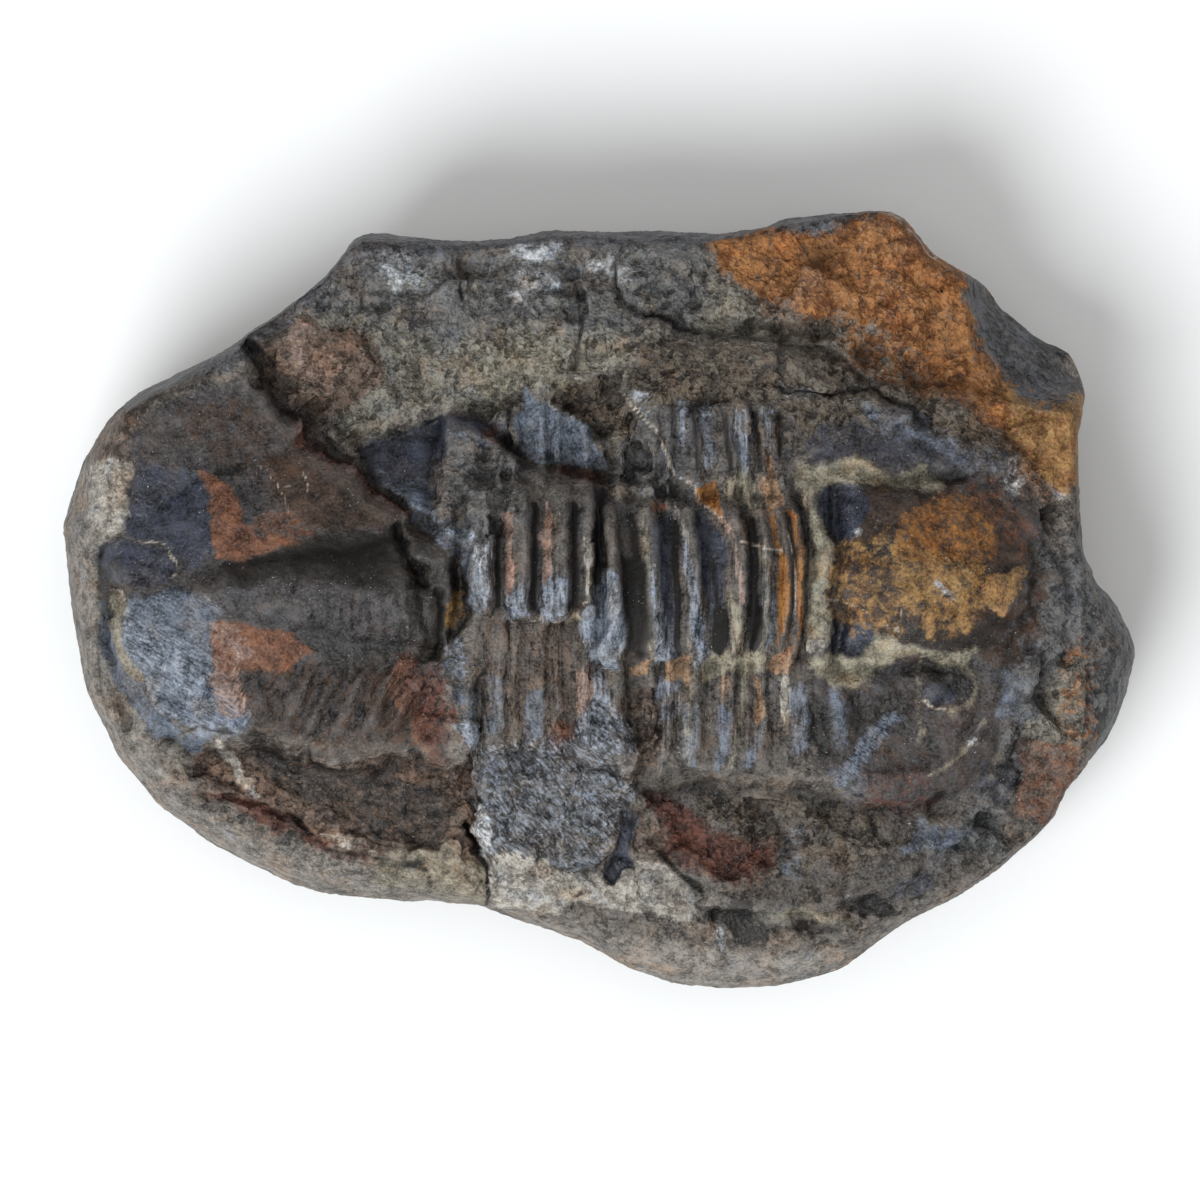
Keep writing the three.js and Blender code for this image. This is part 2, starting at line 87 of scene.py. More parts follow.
# Breaks, hollows and ledges: rise is how far each stands up, edge how wide its slope is
ledges = {
    "pit before the tail axis": dict(rise=-1.5, edge=3.0, outline=[
        (-21.7, 3.7), (-17.7, 3.5), (-15.3, 2.8), (-14.4, 1.1), (-14.6, -3.6), (-16.8, -6.1), (-18.8,
        -5.8), (-19.9, -3.6), (-20.6, -0.1)]),
    "lump in the pit": dict(rise=0.6, edge=1.2, outline=[
        (-21.5, 7.9), (-18.6, 7.7), (-16.6, 5.7), (-16.6, 4.2), (-18.6, 3.3), (-20.8, 4.2)]),
    "rough hollow below the tail": dict(rise=-1.0, edge=1.6, outline=[
        (-46.4, -16.2), (-29.9, -17.4), (-18.8, -18.3), (-14.6, -16.7), (-13.5, -22.3), (-14.4, -29.2),
        (-21.4, -26.9), (-29.9, -26.1), (-39.4, -22.3), (-46.2, -18.7)]),
    "silver break below the middle": dict(rise=1.0, edge=1.0, outline=[
        (-14.4, -16.5), (-4.4, -15.8), (1.2, -13.4), (4.5, -18.4), (3.6, -24.5), (4.3, -27.8),
        (2.5, -31.6), (-4.4, -34.5), (-12.6, -34.3), (-14.2, -24.5)]),
    "cream chip at the lower rim": dict(rise=-1.6, edge=2.0, outline=[
        (-12.6, -33.9), (-11.1, -29.2), (4.5, -28.9), (11.2, -31.6), (10.1, -36.7), (-13.3, -37.8)]),
    "red hollow": dict(rise=-1.0, edge=1.8, outline=[
        (5.4, -21.2), (11.2, -19.8), (17.8, -22.3), (21.2, -27.8), (16.7, -31.2), (5.8, -26.5)]),
    "notch in the lower rim": dict(rise=-0.8, edge=1.0, outline=[
        (26.3, -33.2), (29.2, -32.3), (32.7, -33.2), (31.8, -36.5), (27.8, -36.5)]),
    "facet above the break": dict(rise=-1.2, edge=1.2, outline=[
        (-27.5, 16.4), (-22.2, 18.8), (-17.1, 20.7), (-16.9, 17.7), (-17.7, 11.1), (-25.3, 13.3)]),
    "lower bench by the orange face": dict(rise=-1.1, edge=1.2, outline=[
        (2.1, 46), (2.4, 33.3), (5.6, 31.3), (10.1, 29.4), (27.8, 28.8), (30.1, 25.3), (45.6, 22.2),
        (42.3, 46)]),
    "lower bench at the upper rim": dict(rise=-0.9, edge=1.1, outline=[
        (-17.4, 46), (-17.1, 36.8), (-15.3, 33.1), (-13.3, 31.7), (-4.4, 33.7), (2.1, 33.3), (2.1, 46)]),
    "blue plate": dict(rise=0.55, edge=0.5, outline=[
        (-9.6, 20.3), (-8.3, 20.9), (-6.5, 21.7), (-5.7, 22.2), (-4.9, 21.2), (-0.8, 19.2), (0.9, 15.5),
        (0.9, 14.2), (-1.7, 14.7), (-4.6, 15.2), (-6.6, 14.8), (-8.7, 16.4), (-9.3, 17.7)]),
    "hollow above the blue plate": dict(rise=-0.7, edge=0.8, outline=[
        (-5.5, 24.4), (1.9, 24.4), (4.1, 20.7), (3.5, 18.7), (1.4, 16.4), (-0.8, 19.5), (-3.9, 20.9),
        (-5.3, 22.2)]),
    "silver hill": dict(rise=0.7, edge=1.0, outline=[
        (-0.2, 3.8), (1.7, 3.5), (2.7, -0.5), (3.3, -3.6), (2.5, -7.4), (-0.2, -7.6), (-1.9, -4.5),
        (-1.9, -1.4), (-0.6, -0.1)]),
    "rough rise beside the left rings": dict(rise=0.6, edge=1.0, outline=[
        (-2.6, -10.1), (0.1, -7.6), (1.8, -12.9), (3.6, -13.8), (3.4, -16.7), (1.6, -18.1), (-2.4,
        -15.8)]),
    "floor right of the silver hill": dict(rise=-0.6, edge=1.0, outline=[
        (2.5, -7.6), (4.7, -8.1), (5.8, -11.2), (5.6, -18.4), (3.8, -22.3), (3.2, -18.9), (3.8, -14.1),
        (2.1, -12.5)]),
    "shell chip on the glabella": dict(rise=0.5, edge=0.45, outline=[
        (42.3, 1.7), (43.2, 2.8), (45.1, 2.4), (45.6, 2.9), (46.8, 3.6), (47.3, 3.2), (46.9, 1.5),
        (45.9, -0.3), (44.9, -1.4), (43.4, -1.1), (42.1, -0.1)]),
    "slot in the shell chip": dict(rise=-0.5, edge=0.4, outline=[
        (45.2, 2.4), (45.9, 2.6), (45.8, 1.5), (45.3, 0.6)]),
    "upper crust on the head": dict(rise=0.22, edge=0.4, outline=[
        (21.8, 13.9), (22.9, 15.2), (28.9, 15.2), (37.4, 13.9), (37.8, 12.6), (31.7, 13.1), (28.5,
        12.7), (24.5, 12.4), (24.3, 9.3), (25.4, 6.6), (25.2, -0.1), (24.9, -5.6), (30.1, -6.3), (41.6,
        -5.8), (40.7, -7.3), (30.8, -7.2), (30.1, -8.5), (26.7, -9.8), (22.9, -8.5), (22.9, -0.1),
        (22.7, 8.8)]),
    "flat olive bench": dict(rise=0.4, edge=0.7, outline=[
        (10.1, 31.5), (13.4, 34.7), (15.4, 33.4), (17.1, 31.4), (16.7, 29.3), (11.7, 29.7)]),
    "dark ledge at the lower rim": dict(rise=-1.1, edge=0.9, outline=[
        (10.3, -35.4), (12.1, -34.3), (15.4, -34.3), (18.7, -35.6), (22.3, -34.7), (24.9, -34.9), (26.9,
        -36.3), (25.8, -37.6), (22.3, -37.2), (18.9, -38.3), (15.2, -38.1), (12.5, -36.3)]),
    "lower right ledge": dict(rise=-0.7, edge=0.9, outline=[
        (27.4, -34.1), (31.2, -32.3), (36.1, -30.1), (37.6, -31.6), (33.4, -34.7), (29.2, -35.8)]),
    "lip below the grey ledge": dict(rise=0.5, edge=0.8, outline=[
        (11.2, -31.2), (17.8, -29.8), (27.4, -27.4), (33.4, -26.5), (40.1, -26.3), (39.6, -27.8), (31.2,
        -32.1), (27.4, -33.6), (18.9, -34.9), (11.2, -34.1)]),
    "dark flank of the silver break": dict(rise=-0.9, edge=0.8, outline=[
        (2.7, -21.2), (3.8, -22.3), (3.8, -29.6), (1.8, -31.5), (0.4, -30.5), (1.6, -27.8)]),
    "brown block at the lower rim": dict(rise=0.5, edge=0.7, outline=[
        (-25.3, -29.1), (-22.2, -27.8), (-12.8, -27.9), (-12.8, -33.8), (-19.1, -31.8), (-20.4, -29.8)]),
    "pocket at the upper left": dict(rise=-0.4, edge=0.8, outline=[
        (-39.9, 29.1), (-38.6, 28.6), (-33.3, 22.2), (-29.9, 18.8), (-22.2, 11.1), (-18.8, 7.1), (-19.9,
        7.1), (-27.7, 14.4), (-34.4, 19.3), (-37.5, 23.5)]),
    "pink stone at the upper left": dict(rise=0.5, edge=1.0, outline=[
        (-34.8, 30.3), (-33.9, 31.4), (-30.8, 30.3), (-27.2, 30.5), (-25.2, 27.7), (-25.2, 25.9),
        (-28.8, 22.9), (-31.5, 22.9), (-34.6, 24.4), (-36.3, 26.1), (-35.4, 28.1)]),
    "crushed spot one": dict(rise=0.3, edge=0.8, outline=[
        (-23.8, 37.9), (-21.8, 38.1), (-19.3, 35.9), (-20.4, 34.5), (-22.4, 34.5), (-23.9, 36.6)]),
    "crushed spot two": dict(rise=0.3, edge=0.8, outline=[
        (-9.4, 37.9), (-8.5, 39.1), (-5.5, 39.6), (-5.3, 38.5), (-7.3, 37.9), (-8.2, 37.4)]),
    "block right of the cheek": dict(rise=-0.25, edge=0.9, outline=[
        (45.4, -6.2), (47.8, -4.5), (51.6, -0.1), (53.8, -0.1), (54.1, -17.8), (51.2, -22.9), (45.8,
        -23.9), (46.5, -21.2), (45.4, -17.8), (46.5, -13.4)]),
    "dark hole under the eye": dict(rise=-0.8, edge=0.8, outline=[
        (35.8, -20.8), (38.4, -21.2), (38.3, -24.5), (36.5, -24.7)]),
}

# Rounded swellings: centre, half lengths along X and Y, and height
domes = {
    "tail shield": dict(centre=(-22, -1), reach=(33, 19), rise=3.2),
    "head shield": dict(centre=(33, 0), reach=(18, 21), rise=1.6),
    "glabella": dict(centre=(36, 3.2), reach=(12, 10.4), rise=3.4),
    "eye lobe": dict(centre=(36.9, -10.4), reach=(2.2, 1.5), rise=0.8),
    "shell chip on the glabella": dict(centre=(45.2, 1.2), reach=(2.6, 2.6), rise=0.5),
    "lower cheek hollow": dict(centre=(32, -14), reach=(8, 5.5), rise=-0.9),
    "cheek ridge": dict(centre=(26.4, -13), reach=(1.7, 5.2), rise=0.7),
}

# Ridges and furrows: rise is negative for a furrow, reach is the half width
ridges = {
    "occipital band": dict(reach=1.9, rise=1.1, line=[(23.6, 14.6), (24.4, 2.5), (23.6, -9.6)]),
    "furrow behind the glabella": dict(reach=1.2, rise=-0.8, line=[(26, 12), (26.4, 3), (26, -7)]),
    "upper glabella furrow": dict(reach=1.5, rise=-0.9, line=[(22.5, 14.2), (40, 13.6)]),
    "lower glabella furrow": dict(reach=1.5, rise=-0.9, line=[(23.5, -8.2), (38, -7.4)]),
    "hollow before the glabella": dict(reach=3.6, rise=-0.6, line=[
        (47.5, 7.2), (49.0, 3), (48.8, -1.5), (47, -5)]),
    "cheek crease": dict(reach=1.0, rise=0.35, line=[(25.9, -19.4), (29.8, -15.1), (34.5, -10.2)]),
    "tail border furrow": dict(reach=1.6, rise=-0.7, line=[
        (-54.2, 0.5), (-54.2, -7), (-52.6, -13.5), (-46.8, -15.2)]),
    "lip outside the tail border": dict(reach=0.9, rise=0.6, line=[
        (-56.6, 1.7), (-55.7, -3.4), (-54.6, -7.6), (-52.8, -11.6), (-51.5, -14.1), (-49.7, -15.8)]),
    "groove under the body break": dict(reach=0.8, rise=-0.55, line=[
        (-39.3, 28), (-35, 21.2), (-31.6, 19), (-25.4, 13), (-18.2, 8)]),
    "crack across the middle": dict(reach=0.9, rise=-1.1, line=[
        (-13.3, -9.5), (-13.3, -17.8), (-14.4, -24.5), (-12.7, -33.9)]),
    "crack above the left rings": dict(reach=0.9, rise=-0.9, line=[
        (-16.9, 21.2), (-12.2, 19.1), (-8.1, 14.9), (-2.1, 13.7), (6.3, 13.4)]),
    "eye rim": dict(reach=0.4, rise=0.25, line=[
        (35.7, -10.7), (36.5, -11.6), (37.8, -12.3), (38.9, -12.4), (40.3, -11.4), (41.2, -10.1)]),
    "head border": dict(reach=0.9, rise=0.22, line=[
        (42.7, -13.5), (41.9, -15.6), (40.3, -16.9), (38.9, -18.5), (33.9, -19.6)]),
    "step one at the top": dict(reach=0.6, rise=-0.5, line=[(-17.8, 37.5), (-16.7, 34.6), (-15.3, 32.8)]),
    "step two at the top": dict(reach=0.6, rise=-0.6, line=[
        (-4.5, 37.5), (-2.8, 35.5), (-2.3, 32.6), (-1.9, 27.5), (-3.3, 25.7), (-5.3, 24.8)]),
    "step three at the top": dict(reach=0.6, rise=-0.6, line=[
        (2.1, 37.5), (2.3, 33.2), (5.6, 31.3), (10.1, 29.4), (15.1, 29.2), (20.1, 28.9), (23.6, 27.7),
        (25.4, 27.9), (28.9, 25.3), (31.2, 23.9)]),
    "crevice left of the lump": dict(reach=0.8, rise=-1.2, line=[
        (-22.6, 8.2), (-22.1, 5.4), (-20.6, 3.3), (-19.1, 1.5)]),
    "crevice by the chip": dict(reach=0.8, rise=-1.3, line=[
        (-17.7, 1.1), (-17.1, -1.4), (-17.3, -3.6), (-17.9, -5.4)]),
    "wall of the pit": dict(reach=1.5, rise=0.9, line=[
        (-20.8, 10.2), (-17.7, 8.6), (-14.8, 6.6), (-13.1, 4.4), (-12.8, 1.1)]),
    "crevice under the step": dict(reach=0.9, rise=-0.9, line=[
        (20.1, 23.6), (23.4, 23.1), (28.1, 23.1), (30.1, 23.4), (32.1, 22.6), (34.7, 21.4), (36.1, 19.5)]),
    "crease in the pink stone": dict(reach=0.35, rise=-0.35, line=[
        (-26.6, 29.7), (-26.1, 27.7), (-25.2, 26.2)]),
    "crack at the upper left": dict(reach=0.4, rise=-0.6, line=[
        (-39.7, 28.8), (-37.1, 26.8), (-34.7, 24.8), (-33.3, 22.8)]),
    "ledge at the lower left": dict(reach=0.7, rise=-0.55, line=[
        (-43.8, -21.8), (-39.9, -22.3), (-37.5, -22.9), (-33.9, -24.3), (-32.1, -25.6), (-29.8, -27.8),
        (-25.3, -28.8), (-21.1, -29.2), (-19.9, -29.6), (-18.9, -30.7), (-19.1, -31.8)]),
    "second ledge at the lower left": dict(reach=0.5, rise=-0.4, line=[
        (-28.1, -25.6), (-24.8, -26.7), (-21.6, -27.7), (-19.9, -27.4)]),
    "crack in the lower rim": dict(reach=0.5, rise=-0.8, line=[
        (-15.4, -24.8), (-14.2, -26.8), (-13.6, -28.1), (-12.8, -29.8), (-12.6, -31.7), (-12.9, -33.8)]),
    "crack by the red hollow": dict(reach=0.6, rise=-0.8, line=[
        (5.8, -26.5), (7.2, -28.1), (8.9, -30.1), (11.1, -32.3)]),
    "crack at the lower right": dict(reach=0.4, rise=-0.5, line=[
        (27.5, -27.5), (26.9, -31.2), (27.2, -33.7)]),
    "crack right of the cheek": dict(reach=0.4, rise=-0.5, line=[
        (47.1, -13.5), (46.4, -15.8), (45.4, -17.3), (45.5, -18.6), (46.6, -19.9), (46.5, -21.3)]),
    "edge of the head at the right": dict(reach=1.2, rise=-0.4, line=[
        (40.9, -7.2), (42.1, -10.1), (41.8, -13.4), (40.1, -16.9)]),
    "furrow beside the cheek ridge": dict(reach=1.3, rise=-0.6, line=[
        (23.6, -10.1), (23.8, -15.6), (24.7, -16.9)]),
}

# The axis of the tail: a tapering ridge with its foot at the pit, crossed by fine rings
tailAxis = dict(head=(-17, 0.6), tip=(-43.5, 1), headReach=6.6, tipReach=2.6, rise=3.2)
# pitch and height of the ribs in millimetres, along the way across them, edge how they fade out
tailRibs = {
    "rings of the axis": dict(pitch=1.45, height=0.16, along=(1, 0.06), edge=2.5, outline=[
        (-34.4, 1.5), (-16.6, 2.2), (-15.1, -0.1), (-15.3, -5.6), (-22.2, -6.2), (-33.3, -4.5)]),
    "ribs of the side lobe": dict(pitch=2.7, height=0.45, along=(0.88, -0.48), edge=3, outline=[
        (-38.8, -7.6), (-29.9, -6.2), (-17.7, -6.3), (-17.7, -15.6), (-29.9, -16.7), (-38.8, -15.1)]),
}

# The two blocks of the middle: where each ring's crest lies on the axis and on the lower side lobe
ringBlocks = [
    dict(start=-14.6, end=-0.6, axisCrests=(-12.2, -8.1, -3.7, -0.8),
         sideCrests=(-10.8, -9.4, -6.3, -4.7, -1.5),
         axisY=5.6, axisReach=7.8, bow=0.2),
    dict(start=0.9, end=22.6, axisCrests=(1.9, 6.6, 10.9, 15.9, 18.6, 20.9, 22.6),
         sideCrests=(2.4, 6.0, 7.6, 10.9, 14.7, 16.2, 18.1, 20.8, 22.6), axisY=2.2, axisReach=9.2, bow=1.3),
]
rings = dict(axisRise=2.2, ringRise=1.6, fall=1.1, sideRise=1.05, sideFall=0.8, lowerEnd=-18.6, upperEnd=23)


def smooth(t):
    t = np.clip(t, 0, 1)
    return t * t * (3 - 2 * t)


def noiseAt(points, scale, octaves=1, shift=0.0):
    # fractal noise at each point, about -1 to 1, with features of about scale millimetres
    seed = Vector((shift, 7.3 * shift, 3.1))
    return np.array([noise.fractal(Vector(p) / scale + seed, 0.7, 2.1, octaves) for p in points.tolist()])


def lineDistance(x, y, line):
    nearest = np.full(x.shape, 1e9)
    for (ax, ay), (bx, by) in zip(line, line[1:]):
        dx, dy = bx - ax, by - ay
        t = np.clip(((x - ax) * dx + (y - ay) * dy) / (dx * dx + dy * dy), 0, 1)
        nearest = np.minimum(nearest, np.hypot(x - ax - t * dx, y - ay - t * dy))
    return nearest


def depthInside(x, y, outline):
    # distance inside a closed outline, negative outside it
    inside = np.zeros(x.shape, bool)
    for (ax, ay), (bx, by) in zip(outline, outline[1:] + outline[:1]):
        if ay != by:
            inside ^= ((ay > y) != (by > y)) & (x < (bx - ax) * (y - ay) / (by - ay) + ax)
    distance = lineDistance(x, y, outline + outline[:1])
    return np.where(inside, distance, -distance)


def saw(x, crests, fall, lead):
    # climbs to each crest, then drops steeply on its right side
    stops, heights = [crests[0] - lead], [0]
    for crest, following in zip(crests, crests[1:] + (crests[-1] + 9,)):
        drop = min(fall, 0.45 * (following - crest))
        stops += [crest, crest + drop]
        heights += [1, 0]
    return np.interp(x, stops, heights) ** 1.4


def ringHeight(x, y, block):
    across = (y - block["axisY"]) / block["axisReach"]
    bowed = x + block["bow"] * np.minimum(across * across, 2.2)
    mask = smooth((bowed - block["start"]) / 0.8 + 0.5) * smooth((block["end"] - bowed) / 0.8 + 0.5)
    vault = np.maximum(0, 1 - across * across)
    onAxis = smooth(vault * 3)
    crests = rings["ringRise"] * saw(bowed, block["axisCrests"], rings["fall"], 3)
    axis = rings["axisRise"] * vault ** 0.6 + crests * onAxis
    sideReach = np.minimum(smooth((y - rings["lowerEnd"]) / 3), smooth((rings["upperEnd"] - y) / 3))
    side = rings["sideRise"] * saw(x, block["sideCrests"], rings["sideFall"], 2) * sideReach * (1 - onAxis)
    return mask * (axis + side)


def tailAxisHeight(x, y):
    (hx, hy), (tx, ty) = tailAxis["head"], tailAxis["tip"]
    along = (x - hx) / (tx - hx)
    t = np.clip(along, 0, 1)
    reach = tailAxis["headReach"] + t * (tailAxis["tipReach"] - tailAxis["headReach"])
    off = (y - hy - t * (ty - hy)) / reach
    ends = smooth(1 - np.maximum(0, along - 1) * 8) * smooth(1 - np.maximum(0, -along) * 20)
    height = tailAxis["rise"] * (1 - 0.6 * t) * np.maximum(0, 1 - off * off) ** 0.9 * ends
    for rib in tailRibs.values():
        turn = (x * rib["along"][0] + y * rib["along"][1]) * 2 * math.pi / rib["pitch"]
        height += rib["height"] * np.cos(turn) * smooth(depthInside(x, y, rib["outline"]) / rib["edge"])
    return height


def warped(x, y):
    # shifts the plan a little to and fro, so that drawn outlines come out as natural ones
    points = np.stack([x, y, np.zeros(x.shape)], -1)
    ringZone = smooth((x + 15) / 2) * smooth((24 - x) / 2) * smooth((y + 19) / 3) * smooth((24 - y) / 3)
    calm = 1 - 0.6 * ringZone
    wideX, wideY = noiseAt(points, 5, 2, 21.0), noiseAt(points, 5, 2, 33.0)
    fineX, fineY = noiseAt(points, 1.4, 2, 41.0), noiseAt(points, 1.4, 2, 53.0)
    return (x + calm * (stone["warpWide"] * wideX + stone["warpFine"] * fineX),
            y + calm * (stone["warpWide"] * wideY + stone["warpFine"] * fineY))


def faceLevel(x, y):
    fall = np.where(y < 6, stone["fallBottom"] * ((y - 6) / 42) ** 2, stone["fallTop"] * ((y - 6) / 36) ** 2)
    height = stone["faceHeight"] - stone["fallEnds"] * (x / 60) ** 2 - fall
    easy = np.maximum(smooth((x - 36) / 8), smooth((y - 19) / 4) * smooth(x / 4))
    bodyEdge = stone["bodyEdge"] + (stone["bodyEdgeHead"] - stone["bodyEdge"]) * easy
    height += stone["bodyRise"] * smooth(depthInside(x, y, bodyOutline) / bodyEdge + 0.5)
    for ledge in ledges.values():
        height += ledge["rise"] * smooth(depthInside(x, y, ledge["outline"]) / ledge["edge"] + 0.5)
    for dome in domes.values():
        (cx, cy), (reachX, reachY) = dome["centre"], dome["reach"]
        spread = ((x - cx) / reachX) ** 2 + ((y - cy) / reachY) ** 2
        height += dome["rise"] * np.maximum(0, 1 - spread) ** 0.8
    for ridge in ridges.values():
        height += ridge["rise"] * smooth(1 - lineDistance(x, y, ridge["line"]) / ridge["reach"])
    for block in ringBlocks:
        height += ringHeight(x, y, block)
    return height + tailAxisHeight(x, y)


# Colours of the surface, bottom layer first: darkest and palest grain as shown on a screen (0 to 255),
# roughness, how ragged the edge of a patch is in millimetres, and how coarse its surface is
tones = {
    "grey": dict(dark=(28, 26, 24), pale=(106, 99, 93), rough=0.5, ragged=1.6, grit=0.35, fade=0.5),
    "dusk": dict(dark=(17, 16, 17), pale=(82, 78, 78), rough=0.5, ragged=1.4, grit=0.2, fade=0.5),
    "olive": dict(dark=(63, 60, 53), pale=(141, 136, 125), rough=0.72, ragged=2.2, grit=0.9, fade=0.5),
    "ash": dict(dark=(46, 46, 47), pale=(112, 111, 111), rough=0.6, ragged=1.8, grit=0.65, fade=0.6),
    "rind": dict(dark=(72, 68, 64), pale=(150, 143, 135), rough=0.8, ragged=1.6, grit=0.45, fade=0.4),
    "slate": dict(dark=(29, 28, 29), pale=(102, 102, 106), rough=0.55, ragged=0.9, grit=0.6, fade=0.3),
    "brown": dict(dark=(49, 39, 32), pale=(121, 102, 90), rough=0.62, ragged=1.8, grit=0.8, fade=0.6),
    "orange": dict(dark=(98, 61, 34), pale=(165, 115, 71), rough=0.75, ragged=2, grit=0.9, fade=0.6),
    "bark": dict(dark=(36, 30, 25), pale=(108, 98, 86), rough=0.7, ragged=2, grit=0.9, fade=0.6),
    "umber": dict(dark=(20, 14, 11), pale=(80, 63, 52), rough=0.6, ragged=1.8, grit=0.3, fade=0.6),
    "dark": dict(dark=(14, 12, 11), pale=(50, 45, 41), rough=0.45, ragged=1.2, grit=0.25, fade=0.45),
    "navy": dict(dark=(14, 15, 21), pale=(68, 71, 83), rough=0.4, ragged=1, grit=0.15, fade=0.4),
    "rust": dict(dark=(56, 33, 22), pale=(132, 92, 71), rough=0.6, ragged=0.9, grit=0.3, fade=0.4),
    "red": dict(dark=(40, 20, 16), pale=(100, 66, 55), rough=0.62, ragged=1.3, grit=0.7, fade=0.5),
    # steel and silver: bluish greys, also set as painted sheen and painted highlights on flanks and edges
    # facing the key light
    "steel": dict(dark=(46, 52, 60), pale=(116, 124, 137), rough=0.42, ragged=1.2, grit=0.35, fade=0.5),
    "silver": dict(dark=(62, 67, 75), pale=(152, 160, 173), rough=0.42, ragged=1.4, grit=0.5, fade=0.5),
    "pink": dict(dark=(88, 68, 59), pale=(166, 142, 130), rough=0.65, ragged=0.9, grit=0.4, fade=0.3),
    "peach": dict(dark=(80, 60, 45), pale=(172, 140, 112), rough=0.65, ragged=0.8, grit=0.35, fade=0.3),
    "cream": dict(dark=(104, 98, 91), pale=(184, 178, 168), rough=0.85, ragged=1.4, grit=0.6, fade=0.4),
    "ochre": dict(dark=(84, 59, 31), pale=(166, 131, 85), rough=0.7, ragged=1.9, grit=0.4, fade=0.5),
    "tan": dict(dark=(80, 75, 61), pale=(166, 158, 139), rough=0.75, ragged=1.3, grit=0.35, fade=0.7),
    "amber": dict(dark=(96, 56, 22), pale=(172, 118, 62), rough=0.65, ragged=0.9, grit=0.3, fade=0.4),
    "chalk": dict(dark=(104, 106, 108), pale=(214, 217, 221), rough=0.9, ragged=1.8, grit=0.5, fade=0.7),
    # crack: near black, for cracks and also as painted shade in slots, crevices and on steps
    "crack": dict(dark=(9, 7, 6), pale=(28, 23, 20), rough=0.7, ragged=0.25, grit=0.1, fade=0.25),
    "vein": dict(dark=(104, 93, 83), pale=(206, 196, 183), rough=0.65, ragged=0.35, grit=0.1, fade=0.25),
}

